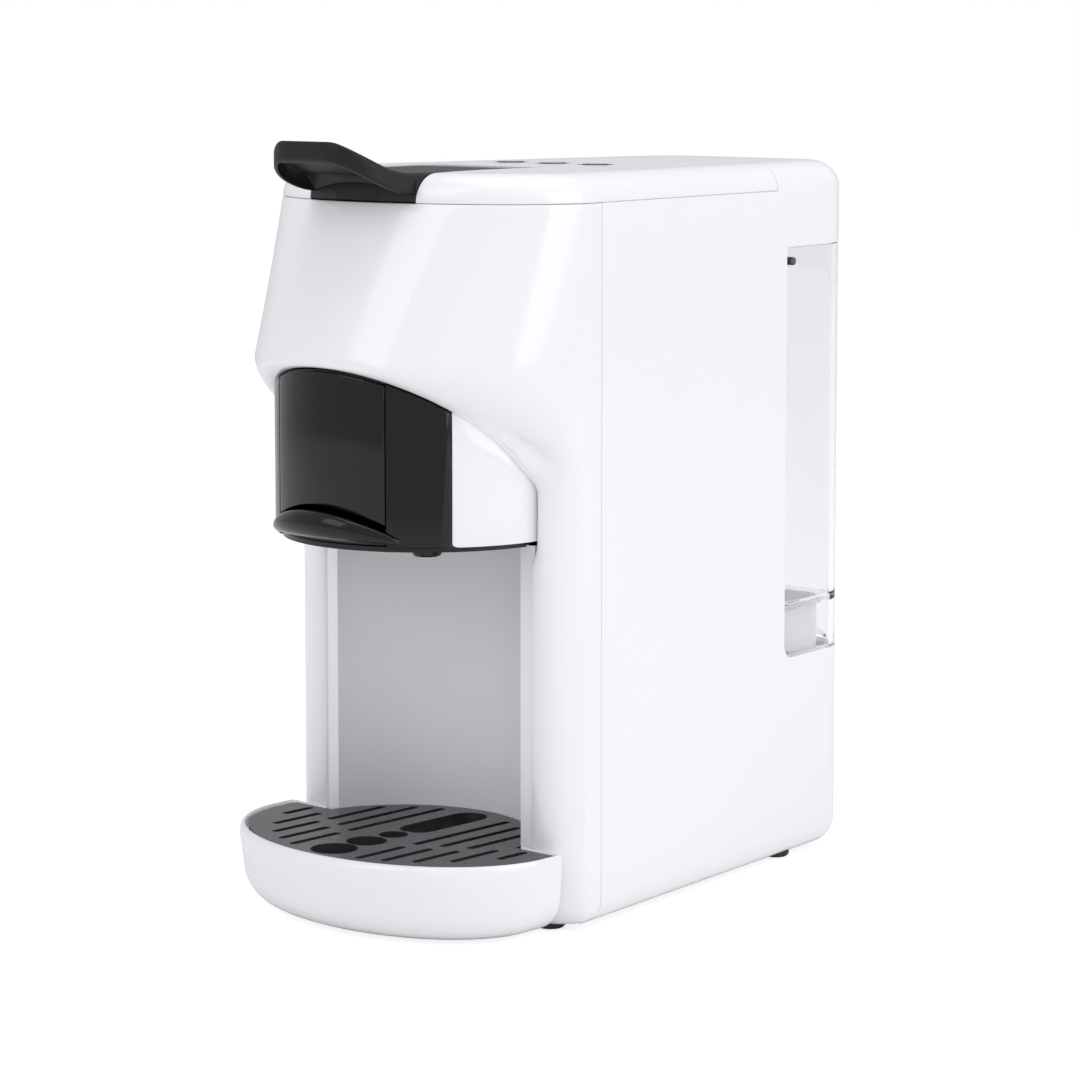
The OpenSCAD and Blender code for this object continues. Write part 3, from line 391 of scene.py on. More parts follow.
class Skin:
    """Gathers grids of points into one mesh, and finishes it as a piece."""

    def __init__(self) -> None:
        """Starts with no points."""
        self.points: list = []
        self.faces: list = []
        self.count = 0

    def grid(self, p: Array, wrap: bool = False) -> None:
        """Adds a grid of points [rows, columns, 3] in the seam frame as quads.

        Args:
            p: The points.
            wrap: Whether the last column joins the first.
        """
        n, m = p.shape[:2]
        index = np.arange(n * m).reshape(n, m) + self.count
        if wrap:
            index = np.concatenate([index, index[:, :1]], 1)
        quads = np.stack([index[:-1, :-1], index[:-1, 1:], index[1:, 1:], index[1:, :-1]], -1)
        self.points.append(p.reshape(-1, 3))
        self.faces.append(quads.reshape(-1, 4))
        self.count += n * m

    def lid(self, ring: Array) -> None:
        """Closes a ring [n, 3] with a fan of quads to its middle."""
        self.grid(rows(ring, np.broadcast_to(ring.mean(0), ring.shape)), wrap=True)

    def tube(self, rings: Array) -> None:
        """Adds a run of rings [rings, n, 3], with a lid on the first and on the last."""
        self.grid(rings, wrap=True)
        self.lid(rings[0])
        self.lid(rings[-1])

    def piece(self, name: str, inside: tuple, wall: float = 0.0,
              sharp: float = 38.0) -> bpy.types.Object:
        """Merges, orients and, for an open skin, thickens the mesh.

        Args:
            name: The piece's name.
            inside: A point in the seam frame that the faces look away from.
            wall: Thickness added inwards, for an open skin.
            sharp: Edges steeper than this many degrees stay crisp.

        Returns:
            The object, at the origin, with its place in its mesh.
        """
        mesh = bpy.data.meshes.new(name)
        mesh.from_pydata(placed(np.concatenate(self.points)).tolist(), [],
                         np.concatenate(self.faces).tolist())
        bm = bmesh.new()
        bm.from_mesh(mesh)
        bmesh.ops.remove_doubles(bm, verts=bm.verts, dist=2e-6)
        bmesh.ops.dissolve_degenerate(bm, dist=1e-6, edges=bm.edges)
        bmesh.ops.recalc_face_normals(bm, faces=bm.faces)
        heart = placed(np.array(inside, float))
        for island in islands(bm):
            turn_out(bm, island, heart)
        bm.to_mesh(mesh)
        bm.free()
        obj = bpy.data.objects.new(name, mesh)
        bpy.context.scene.collection.objects.link(obj)
        if wall:
            shell = obj.modifiers.new("wall", "SOLIDIFY")
            shell.thickness = wall / 1000
            shell.offset = -1
            shell.use_even_offset = False
            shell.use_quality_normals = True
            settle(obj)
        smooth(obj, sharp)
        return obj


def settle(obj: bpy.types.Object) -> None:
    """Applies the modifiers of a piece to its mesh."""
    view = bpy.context.evaluated_depsgraph_get()
    mesh = bpy.data.meshes.new_from_object(obj.evaluated_get(view))
    obj.modifiers.clear()
    obj.data = mesh


def keep_off_table(obj: bpy.types.Object, low: float) -> None:
    """Raises every vertex that lies under low millimetres to that height."""
    mesh = obj.data
    flat = np.empty(len(mesh.vertices) * 3)
    mesh.vertices.foreach_get("co", flat)
    z = flat[2::3]
    z[:] = np.maximum(z, low / 1000)
    mesh.vertices.foreach_set("co", flat)
    mesh.update()


def smooth(obj: bpy.types.Object, sharp: float) -> None:
    """Shades a piece smooth, with edges steeper than sharp degrees left crisp."""
    obj.data.shade_smooth()
    obj.data.set_sharp_from_angle(angle=math.radians(sharp))


def carve(obj: bpy.types.Object, cutters: list) -> None:
    """Cuts each cutter's solid out of a piece and removes the cutters.

    Args:
        obj: The piece.
        cutters: Closed objects.
    """
    for k, cutter in enumerate(cutters):
        cut = obj.modifiers.new(f"cut_{k}", "BOOLEAN")
        cut.operation = "DIFFERENCE"
        cut.solver = "EXACT"
        cut.object = cutter
    settle(obj)
    for cutter in cutters:
        bpy.data.objects.remove(cutter)


def hand_in(obj: bpy.types.Object, node: str, body: str, finish: Finish,
            cabinet: FinishCabinet) -> bpy.types.Object:
    """Gives a piece its finish and slot, its body and the CAD node that it replaces.

    Args:
        obj: The piece.
        node: The CAD node.
        body: The body that it rides on.
        finish: Its finish, which names its slot too.
        cabinet: Where the material comes from.

    Returns:
        The piece.
    """
    obj.data.materials.clear()
    obj.data.materials.append(cabinet.get(finish))
    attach(obj, body)
    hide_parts(node)
    return obj


def post(cx: float, cy: float, r: float, z0: float, z1: float) -> bpy.types.Object:
    """Makes an upright round cutter.

    Args:
        cx: Axis x.
        cy: Axis y in the seam frame.
        r: Radius.
        z0: Lower end.
        z1: Upper end.

    Returns:
        The cutter.
    """
    t = np.linspace(0, 2 * np.pi, 48, endpoint=False)
    skin = Skin()
    skin.tube(rows(*[curve(cx + r * np.cos(t), cy + r * np.sin(t), z) for z in (z0, z1)]))
    return skin.piece("cutter", (cx, cy, (z0 + z1) / 2))


# ----------------------------------------------------------------------------- body form


@dataclass
class BodyForm:
    """Sizes and outlines that the mouldings share."""

    half: float = 71.0
    seam_half: float = 70.0
    taper: float = math.tan(math.radians(6.98))
    depth: float = 175.6
    corner: float = 20.0
    base: float = 2.0
    seam: float = 262.5
    edge: float = 10.5
    crown: float = 0.5
    plan_shift: float = 8.0
    top_out: float = 46.0
    out: float = 69.3
    bulge: float = 204.5
    roll: float = 0.13
    roll_power: float = 1.7
    leg: float = 21.0
    leg_corner: float = 15.0
    blend: float = 8.0
    axis_shift: float = 18.0
    foot_in: float = 4.0
    foot_back: float = 11.0
    foot_h: float = 9.0
    wall: float = 2.5
    crown_in: float = 42.0

    @property
    def crest(self) -> float:
        """Height of the flat middle of the top."""
        return self.seam + self.edge + self.crown

    def head_out(self, z: Array) -> Array:
        """How far the head stands out at height z: a straight slope above the bulge, and a
        power curve that draws in below it."""
        z = np.asarray(z, float)
        above = self.out - (self.out - self.top_out) * (z - self.bulge) / (self.seam - self.bulge)
        below = self.out - self.roll * np.maximum(self.bulge - z, 0) ** self.roll_power
        return np.maximum(np.where(z >= self.bulge, above, below), 0)

    def leg_out(self, x: Array) -> Array:
        """Front outline of the legs at x: flat, with a quarter circle at the outer corners."""
        u = np.maximum(0, np.abs(x) - (self.half - self.leg_corner))
        return self.leg - self.plan_shift - self.leg_corner + np.sqrt(
            np.maximum(0, self.leg_corner ** 2 - u * u))

    def foot_inset(self, z: Array) -> Array:
        """Draw-in near the table as a share: one minus the sine of a quarter turn over foot_h."""
        c = np.clip(1 - (np.asarray(z, float) - self.base) / self.foot_h, 0, 1)
        return 1 - np.sqrt(1 - c * c)

    def front(self, x: Array, z: Array, inset: Array = 0.0) -> Array:
        """Point of the front skin over x and z: the head's half ellipse and the legs' outline,
        joined by a soft maximum, scaled in at the sides by the inset."""
        x, z = np.asarray(x, float), np.asarray(z, float)
        i = self.foot_in * self.foot_inset(z) + inset
        across = np.sqrt(np.maximum(0, 1 - (x / self.half) ** 2))
        out = soft_max(self.leg_out(x), self.head_out(z) * across, self.blend)
        y = -self.plan_shift - np.maximum(0, out - i)
        return curve(x * (self.half - i) / self.half, y, z)

    def top_profile(self) -> list:
        """Pairs of height and inset over the rounded top edge and the crown: a quarter circle to
        88 degrees, then a cubic that arrives level at the crest."""
        t = np.radians(np.array([3, 8, 14, 21, 28, 36, 44, 52, 60, 68, 75, 82, 88]))
        arc = [(self.seam + self.edge * s, self.edge * (1 - c)) for s, c in zip(np.sin(t), np.cos(t))]
        z0, i0 = arc[-1]
        slope = (self.crown_in - i0) / math.tan(t[-1])
        crown = []
        for u in (0.2, 0.4, 0.6, 0.8, 1.0):
            z = ((2 * u ** 3 - 3 * u * u + 1) * z0 + (u ** 3 - 2 * u * u + u) * slope
                 + (3 * u * u - 2 * u ** 3) * self.crest)
            crown.append((z, i0 + (self.crown_in - i0) * u))
        return arc + crown


@dataclass
class FrontMoulding:
    """Head front, both legs and the arch with its rolled edge, in one moulding."""

    form: BodyForm
    arch_half: float = 55.5
    arch_top: float = 204.0
    spring: float = 150.0
    power_x: float = 2.1
    power_z: float = 3.2
    leg_half: float = 52.6
    arch_low: float = 139.4
    leg_end: float = 132.0
    fold: float = 6.3
    leg_fold: float = 11.0
    fold_from: float = 156.0
    fold_to: float = 180.0
    turn_over: float = 14.0
    leg_turn: float = 2.7
    skirt_a: float = 55.3
    skirt_b: float = 54.3
    turn_on: float = 8.0
    edge_rows: tuple = (1.6, 0.8)
    columns: int = 34
    top: float = 261.95
    rim: tuple = ((262.2, 0.08), (262.36, 0.3))
    corner_at: int = 30
    table_gap: float = 1.2

    def arch(self) -> tuple:
        """Right half of the opening's outline, from the table up the leg and round the arch.

        The leg is straight, steps out by a smooth step, and goes on as a superellipse.

        Returns:
            x, z and the count of leg points.
        """
        foot = self.form.base + self.form.foot_h * (1 - np.cos(np.radians([0, 18, 36, 54, 72, 90])))
        z = np.concatenate([foot, np.linspace(foot[-1], self.leg_end, 9)[1:],
                            np.linspace(self.leg_end, self.arch_low, 9)[1:]])
        share = ease((z - self.leg_end) / (self.arch_low - self.leg_end))
        x = self.leg_half + (self.arch_half - self.leg_half) * share
        t = np.radians(np.linspace(0, 90, 51))
        ax = self.arch_half * np.cos(t) ** (2 / self.power_x)
        az = self.spring + (self.arch_top - self.spring) * np.sin(t) ** (2 / self.power_z)
        ax[-1] = 0.0
        return np.concatenate([x, ax]), np.concatenate([z, az]), len(z)

    def fold_rows(self, x: Array, z: Array) -> tuple:
        """Rows of the rolled edge round the opening, from the inside out.

        The skin folds back along a quarter ellipse to the skirt's surface, or where the skirt
        stands farther out it rises to it by a smooth step. Behind the fold it runs straight back.

        Args:
            x: The opening's outline.
            z: Its heights.

        Returns:
            The rows, and x and z of the fold's outer edge.
        """
        f = self.form
        dx, dz = np.gradient(x), np.gradient(z)
        length = np.hypot(dx, dz)
        upright = 1 - ease((z - self.spring) / self.turn_over)
        nx, nz = dz / length, -dx / length * (1 - upright)
        nx = np.where(upright > 0.999, np.sign(x), nx)
        nx, nz = nx / np.hypot(nx, nz), nz / np.hypot(nx, nz)
        width = (self.leg_fold + (self.fold - self.leg_fold)
                 * ease((z - self.fold_from) / (self.fold_to - self.fold_from)))
        edge = f.front(x, z)
        skirt = -f.axis_shift - self.skirt_b * np.sqrt(np.maximum(0, 1 - (x / self.skirt_a) ** 2))
        on_skirt = ease((z - self.spring + self.turn_on) / self.turn_on)
        turn = self.leg_turn * (1 - on_skirt) + (skirt - edge[:, 1]) * on_skirt
        lines = [edge + curve(0, turn + back, 0) for back in self.edge_rows]
        for a in np.radians(np.linspace(0, 90, 10)):
            d = width * (1 - np.cos(a))
            back = np.maximum(turn, 0) * (1 - np.sin(a)) + np.minimum(turn, 0) * (1 - ease(d / width))
            lines.append(f.front(x + nx * d, z + nz * d) + curve(0, back, 0))
        return lines, x + nx * width, z + nz * width

    def skin(self) -> Skin:
        """Builds the open skin: front, both flanks and the rim under the cover.

        Between the fold round the opening and the outer boundary the points are spaced evenly in
        the ellipse's own angle t, with x = half * sin t, and in z.

        Returns:
            The skin.
        """
        f = self.form
        x, z, n_leg = self.arch()
        corner, half = n_leg + self.corner_at, len(x)
        lines, qx, qz = self.fold_rows(both_halves(x, -1), both_halves(z))
        angle = np.arcsin(np.clip(qx / f.half, -1, 1))
        bt, bz = np.full(half, np.pi / 2), z.copy()
        bz[n_leg:corner + 1] = z[n_leg] + (self.top - z[n_leg]) * np.linspace(0, 1, self.corner_at + 1)
        bz[corner:] = self.top
        bt[corner:] = np.pi / 2 * (1 - np.linspace(0, 1, half - corner))
        bt, bz = both_halves(bt, -1), both_halves(bz)
        for u in np.linspace(0, 1, self.columns)[1:]:
            lines.append(f.front(f.half * np.sin(angle + (bt - angle) * u), qz + (bz - qz) * u))
        skin = Skin()
        skin.grid(rows(*lines))
        side_z = bz[:corner + 1]
        inset = f.foot_in * f.foot_inset(side_z)
        flank = ((1.0, 0), (0.7, 0), (0.35, 0), (0.07, 0), (0.028, 0.07), (0.007, 0.28))
        slant = f.half - f.seam_half
        start = f.front(f.half, side_z)[:, 1]
        for s in (1, -1):
            skin.grid(rows(*[curve(s * (f.half - slant * (1 - k) - inset - draw), start * k, side_z)
                             for k, draw in flank]))
        rim = []
        y0 = float(f.front(f.half, self.top)[1])
        across = bt[corner: len(bt) - corner]
        for height, draw in ((self.top, 0.0), *self.rim):
            side = np.stack([curve(f.half - slant * (1 - k) - max(draw, d), y0 * k, height)
                             for k, d in flank[:0:-1]])
            middle = f.front(f.half * np.sin(across), np.full(across.shape, height), draw)
            rim.append(np.concatenate([side, middle, side[::-1] * MIRROR]))
        skin.grid(rows(*rim))
        return skin

    def build(self, cabinet: FinishCabinet) -> bpy.types.Object:
        """Makes the moulding, as thick as the shells' wall."""
        obj = self.skin().piece("front_moulding", (0, 6, 190), wall=self.form.wall)
        keep_off_table(obj, self.table_gap)
        return hand_in(obj, "front_shell", "housing", Finish.GLOSS_WHITE, cabinet)


@dataclass
class RearMoulding:
    """Sides, back, rear cap and the three-sided bay of the water tank."""

    form: BodyForm
    cover_end: float = 118.0
    bay_front: float = 125.0
    bay_low: float = 80.0
    bay_high: float = 241.0
    bay_round: float = 5.0
    half_columns: int = 10
    shoulder: float = 251.0
    seat: tuple = ((262.15, 0.0), (262.36, 0.08), (262.45, 0.3))

    def path(self, side_in: float, back_in: float, start: float = 0.06) -> Array:
        """Plan outline [n, 2] from the right seam round the back to the left seam.

        Straight tapering side, an arc tangent to it and to the back, and the straight back.
        """
        f = self.form
        a = math.atan(f.taper)
        r = max(1.5, f.corner - 0.7 * max(side_in, back_in))
        cy = f.depth - back_in - r
        cx = f.seam_half - side_in - f.taper * cy - r / math.cos(a)
        arc_y = cy + r * math.sin(a)
        y = np.concatenate([[start, 0.25, 0.6], np.linspace(0.6, self.cover_end, 12)[1:],
                            [self.bay_front, self.bay_front + self.bay_round],
                            np.linspace(self.bay_front + self.bay_round, arc_y, 4)[1:-1]])
        x = f.seam_half - side_in - f.taper * y - np.where(y <= start, 0.28, np.where(y < 0.5, 0.07, 0))
        t = np.linspace(a, np.pi / 2, 19)
        back_x = np.linspace(cx, 0, self.half_columns + 1)[1:]
        right = np.concatenate([np.stack([x, y], 1),
                                np.stack([cx + r * np.cos(t), cy + r * np.sin(t)], 1),
                                np.stack([back_x, np.full(back_x.shape, f.depth - back_in)], 1)])
        return both_halves(right, MIRROR[:2])

    def skin(self) -> Skin:
        """Builds the open skin: rings of the plan outline up the body, with the bay left out and
        lined by its own front wall, floor and ceiling.

        Returns:
            The skin.
        """
        f = self.form
        skin = Skin()
        plan = self.path(0, 0)
        n = len(plan)
        end = int(np.argmin(np.abs(plan[:n // 2, 1] - self.cover_end)))
        bay = int(np.argmin(np.abs(plan[:n // 2, 1] - self.bay_front)))

        def ring(z: float, side_in: float = 0.0, back_in: float = 0.0) -> Array:
            """The plan outline at height z."""
            p = self.path(side_in, back_in)
            return curve(p[:, 0], p[:, 1], z)

        low = []
        for z in f.base + f.foot_h * (1 - np.cos(np.radians([0, 15, 30, 45, 60, 75, 90]))):
            s = float(f.foot_inset(z))
            low.append(ring(z, f.foot_in * s, f.foot_back * s))
        skin.grid(rows(*low, *[ring(z) for z in np.linspace(f.base + f.foot_h, self.bay_low, 8)[1:]]))
        r = self.bay_round
        tall = np.concatenate([self.bay_low + r * (1 - np.cos(np.radians([0, 18, 36, 54, 72]))),
                               np.linspace(self.bay_low + r, self.bay_high, 15)])
        fill = r - np.sqrt(r * r - np.clip(self.bay_low + r - tall, 0, r) ** 2)
        mouth_y = self.bay_front + fill
        mouth_x = f.seam_half - f.taper * mouth_y
        sides = rows(*[ring(z) for z in tall])
        mouth = curve(mouth_x, mouth_y, tall)[:, None]
        skin.grid(np.concatenate([sides[:, :bay + 1], mouth], 1))
        skin.grid(np.concatenate([mouth * MIRROR, sides[:, n - 1 - bay:]], 1))
        skin.grid(rows(*[ring(z) for z in (self.bay_high, self.shoulder, self.seat[0][0])]))
        seat = rows(*[ring(z, i, i) for z, i in self.seat])
        skin.grid(seat[:, :end + 1])
        skin.grid(seat[:, n - 1 - end:])
        cap = rows(*[ring(z, i, i) for z, i in [self.seat[0], *f.top_profile()]])[:, end:n - end]
        spine = curve(0, cap[-1][:, 1], f.crest)
        skin.grid(np.concatenate([cap, spine[None]]))
        columns = np.linspace(1, -1, 2 * self.half_columns + 1)
        corner = n // 2 - self.half_columns
        skin.grid(rows(*[curve(x * columns, y, z) for x, y, z in zip(mouth_x, mouth_y, tall)]))
        for first, z in ((bay + 1, self.bay_low), (bay, self.bay_high)):
            skin.grid(rows(*[curve(x * columns, y, z) for x, y in plan[first:corner + 1]]))
        return skin

    def build(self, cabinet: FinishCabinet) -> bpy.types.Object:
        """Makes the moulding, as thick as the shells' wall."""
        obj = self.skin().piece("rear_moulding", (0, 60, 140), wall=self.form.wall)
        return hand_in(obj, "rear_shell", "housing", Finish.GLOSS_WHITE, cabinet)


@dataclass
class TopCover:
    """Cover with its rounded edge, the lever's cut-out and three button holes."""

    form: BodyForm
    rear: float = 117.7
    cut_half: float = 26.8
    cut_end: float = 13.7
    holes: tuple = (-21.6, 0.0, 21.6)
    hole_y: float = 51.0
    hole_r: float = 7.05
    foot: tuple = ((0.02, 0.35), (0.3, 0.05))
    cut_front: float = -80.0
    cut_low: float = 250.0
    cut_high: float = 290.0

    def ring(self, z: float, inset: float) -> Array:
        """Plan outline at height z: straight tapering sides and a half-ellipse front."""
        f = self.form
        y = np.concatenate([np.linspace(self.rear, 12, 10), [8.0, 4.0, 0.0]])
        side = curve(f.seam_half - inset - f.taper * y, y, z)
        t = np.linspace(np.pi / 2, -np.pi / 2, 81)
        front = curve((f.half - inset) * np.sin(t), -f.plan_shift - (f.top_out - inset) * np.cos(t), z)
        return np.concatenate([side, front, side[::-1] * MIRROR])

    def build(self, cabinet: FinishCabinet) -> bpy.types.Object:
        """Makes the cover from rings over its edge and crown, then cuts its openings."""
        f = self.form
        rings = [self.ring(f.seam + up, draw) for up, draw in self.foot]
        rings += [self.ring(z, i) for z, i in f.top_profile()]
        spine = curve(0, rings[-1][:, 1], f.crest)
        skin = Skin()
        skin.grid(np.concatenate([rows(*rings), spine[None]]))
        obj = skin.piece("cover_moulding", (0, 30, 230), wall=f.wall)
        slot = Skin()
        x, y = self.cut_half * np.array([-1, 1, 1, -1]), np.repeat([self.cut_front, self.cut_end], 2)
        slot.tube(rows(*[curve(x, y, z) for z in (self.cut_low, self.cut_high)]))
        carve(obj, [slot.piece("cutter", (0, -30, 270))]
              + [post(x, self.hole_y, self.hole_r, 255, self.cut_high) for x in self.holes])
        smooth(obj, 38)
        return hand_in(obj, "top_cover", "housing", Finish.GLOSS_WHITE, cabinet)


@dataclass
class BrewHead:
    """Dark panel, white skirt and pod drawer, all round the brewing axis."""

    arch: FrontMoulding
    axis: float = -18.0
    radius: float = 55.6
    inner: float = 52.0
    low: float = 141.5
    panel_half: float = 43.9
    drawer_half: float = 26.5
    split: float = 26.8
    skirt_half: float = 55.2
    skirt_r: float = 54.0
    drawer_low: float = 142.1
    drawer_high: float = 176.1
    drawer_r: float = 24.5
    seat_r: float = 19.6
    seat_z: float = 145.1
    drip_r: float = 4.0
    recess_top: float = 154.8
    recess_fall: float = 7.0
    recess_half: float = 29.5
    recess_r: float = 46.5
    lip_half: float = 31.5
    lip_out: float = 6.2
    lip_low: float = 142.6
    lip_rise: float = 8.6
    lip_floor: float = 1.9
    panel_gap: float = 0.6
    drawer_gap: float = 1.2
    ledge: float = 1.7
    ledge_low: float = 199.6
    skirt_round: float = 1.6
    skirt_wall: float = 2.0
    skirt_back: float = 9.0
    front_wall: float = 1.6
    front_step: float = 178.0

    def arch_z(self, x: Array, clear: float) -> Array:
        """Height of the arch over x, less a clearance: the superellipse turned round for z."""
        a = self.arch
        share = np.minimum(np.abs(x) / (a.arch_half - clear / 2), 1)
        return a.spring + (a.arch_top - clear - a.spring) * (1 - share ** a.power_x) ** (1 / a.power_z)

    def bar(self, skin: Skin, x: Array, section: list, ease_ends: tuple = (0.4, 0.4)) -> None:
        """Carries a closed section round the axis, with its ends closed.

        Args:
            skin: Where the grid goes.
            x: Stations across the front.
            section: Pairs of radius and height, each a number or an array over x.
            ease_ends: How far the outer face draws in at the first and the last station.
        """
        draw = np.zeros(len(x))
        draw[0], draw[-1] = ease_ends
        ring = []
        for r, z in section:
            r = np.where(r > self.radius - 1.0, r - draw, r)
            ring.append(curve(x, self.axis - np.sqrt(np.maximum(r * r - x * x, 0)), z))
        skin.tube(np.stack(ring, 1))

    def upper_edge(self, top: Array) -> list:
        """Rounded outer edge under a bar's top, as part of a section."""
        return [(self.radius, top - 0.5), (self.radius - 0.15, top - 0.15), (self.radius - 0.5, top)]

    def stations(self, x0: float, x1: float, n: int) -> Array:
        """Places across the front, with one close to each end for the rounded edge."""
        return np.concatenate([[x0], np.linspace(x0 + 0.35, x1 - 0.35, n), [x1]])

    def piece(self, skin: Skin, name: str) -> bpy.types.Object:
        """Turns a skin into a piece whose faces look away from the brewing axis."""
        return skin.piece(name, (0, self.axis, 165))

    def panel(self, cabinet: FinishCabinet) -> bpy.types.Object:
        """Makes the dark panel: a side piece left and right of the drawer and a strip over it."""
        skin, inner, r, low = Skin(), self.inner, self.radius, self.low
        for s in (1, -1):
            x = np.sort(s * self.stations(self.split, self.panel_half, 14))
            top = self.arch_z(x, self.panel_gap)
            self.bar(skin, x, [(inner, low), (r - 0.3, low), (r, low + 0.3), *self.upper_edge(top),
                               (inner, top)])
        x = np.linspace(-self.split, self.split, 31)
        low, top, outer = self.ledge_low, self.arch_z(x, self.panel_gap), inner + self.ledge
        self.bar(skin, x, [(inner, low), (outer, low), (outer, top), (inner, top)], (0, 0))
        return hand_in(self.piece(skin, "panel_moulding"), "head_bezel", "housing", Finish.GLOSS_BLACK,
                       cabinet)

    def skirt(self, cabinet: FinishCabinet) -> bpy.types.Object:
        """Makes the white skirt, two panels on an ellipse that meets the arch at the sides.

        The lower edge is rounded at the corner beside the dark panel.
        """
        skin = Skin()
        t0 = math.asin((self.panel_half + 0.15) / self.skirt_half)
        t = np.concatenate([t0 + np.array([0.0, 0.004, 0.010, 0.018, 0.028]),
                            np.linspace(t0 + 0.04, np.pi / 2, 26)])
        x = self.skirt_half * np.sin(t)
        u = np.clip(1 - (x - x[0]) / self.skirt_round, 0, 1)
        low = self.low + self.skirt_round * (1 - np.sqrt(1 - u * u))
        top = np.maximum(self.arch_z(x, 0.0), self.arch.spring) + 2.0
        face = [(0.0, low + 0.4 + (top - low - 0.8) * k) for k in (0.25, 0.5, 0.75, 1.0)]
        for s in (1, -1):
            ring = []
            for inset, z in ((self.skirt_wall, low), (0.35, low), (0.1, low + 0.12), (0.0, low + 0.4),
                             *face, (0.15, top - 0.1), (0.4, top), (self.skirt_wall, top)):
                edge = np.where(np.arange(len(x)) == 0, max(inset, 0.3), inset)
                y = self.axis - (self.skirt_r - edge) * np.cos(t)
                ring.append(curve(s * (x - inset * np.sin(t)), y, z))
            grid = np.stack(ring, 1)
            skin.tube(np.concatenate([grid, grid[-1:] + np.array([0, self.skirt_back, 0])]))
        return hand_in(self.piece(skin, "skirt_moulding"), "head_skirt", "housing", Finish.GLOSS_WHITE,
                       cabinet)

    def drawer_front(self, skin: Skin) -> None:
        """Adds the drawer's curved front, whose top follows the arch and whose foot has an arched
        finger recess."""
        x = self.stations(-self.drawer_half, self.drawer_half, 61)
        r, back, top = self.radius, self.recess_r, self.arch_z(x, self.drawer_gap)
        arch = self.recess_top - self.recess_fall * (x / self.recess_half) ** 2
        self.bar(skin, x, [(back, self.drawer_low), (back, arch - 2.0), (back + 0.6, arch - 0.6),
                           (back + 2.0, arch), (r - 0.7, arch), (r - 0.2, arch + 0.2), (r, arch + 0.7),
                           *self.upper_edge(top), (r - self.front_wall, top),
                           (r - self.front_wall, self.front_step), (back - 2, self.drawer_high),
                           (back - 2, self.drawer_low)])

    def lip(self, skin: Skin) -> None:
        """Adds the finger lip: a lens-shaped scoop that stands out most in the middle.

        Across the lip, q = 1 - (x / half) squared; its reach goes with q to the power 0.6 and its
        height with q to the power 0.8. The section is a rounded shell, given as shares of the
        height and of the reach. A floor joins the lip to the drawer.
        """
        x = self.lip_half * np.sin(np.linspace(-np.pi / 2, np.pi / 2, 61))
        q = np.maximum(1 - (x / self.lip_half) ** 2, 0)
        out = 0.35 + self.lip_out * q ** 0.6
        rise = 1.5 + self.lip_rise * q ** 0.8
        base = self.lip_low + 0.9 * q
        ring = []
        for v, share in ((0.0, 0.05), (0.02, 0.42), (0.10, 0.66), (0.22, 0.83), (0.36, 0.95), (0.50, 1.0),
                         (0.64, 0.98), (0.78, 0.90), (0.90, 0.78), (0.97, 0.66), (1.0, 0.54), (0.98, 0.43),
                         (0.90, 0.40), (0.70, 0.48), (0.45, 0.50), (0.30, 0.42), (0.22, 0.05)):
            r = self.radius + 0.05 + out * share
            ring.append(curve(x, self.axis - np.sqrt(r * r - x * x), base + rise * v))
        skin.tube(np.stack(ring, 1))
        x = np.linspace(-self.drawer_half + 0.6, self.drawer_half - 0.6, 31)
        near, far, low = self.recess_r - 1, self.radius - 0.4, self.drawer_low
        high = low + self.lip_floor
        self.bar(skin, x, [(near, low), (far, low + 0.3), (far, high), (near, high)], (0, 0))

    def drawer_body(self, skin: Skin) -> None:
        """Adds the drawer's body: straight sides, a half-round back and the round seat of the cup.

        Every ring has the same number of points by angle about the axis, so one grid runs up the
        outside, over the top, down the seat and out through the drip hole.
        """
        t = np.linspace(0, 2 * np.pi, 96, endpoint=False)
        c, s = np.cos(t), np.sin(t)
        reach = np.where(s >= 0, self.drawer_r,
                         np.minimum(self.drawer_r / np.maximum(np.abs(c), 1e-6), self.recess_r - 1.0))
        low, high, seat, drip = self.drawer_low, self.drawer_high, self.seat_r, self.drip_r
        skin.grid(rows(*[curve(r * c, self.axis + r * s, z) for r, z in (
            (reach - 0.4, low), (reach, low + 0.4), (reach, high - 0.4), (reach - 0.4, high),
            (seat + 0.4, high), (seat, high - 0.4), (seat, self.seat_z), (drip, self.seat_z),
            (drip, low), (reach - 0.4, low))]), wrap=True)

    def drawer(self, cabinet: FinishCabinet) -> bpy.types.Object:
        """Makes the pod drawer."""
        skin = Skin()
        self.drawer_front(skin)
        self.lip(skin)
        self.drawer_body(skin)
        return hand_in(self.piece(skin, "drawer_moulding"), "pod_drawer", "pod_drawer",
                       Finish.GLOSS_BLACK, cabinet)

    def build(self, cabinet: FinishCabinet) -> list:
        """Makes the panel, the skirt and the drawer."""
        return [self.panel(cabinet), self.skirt(cabinet), self.drawer(cabinet)]


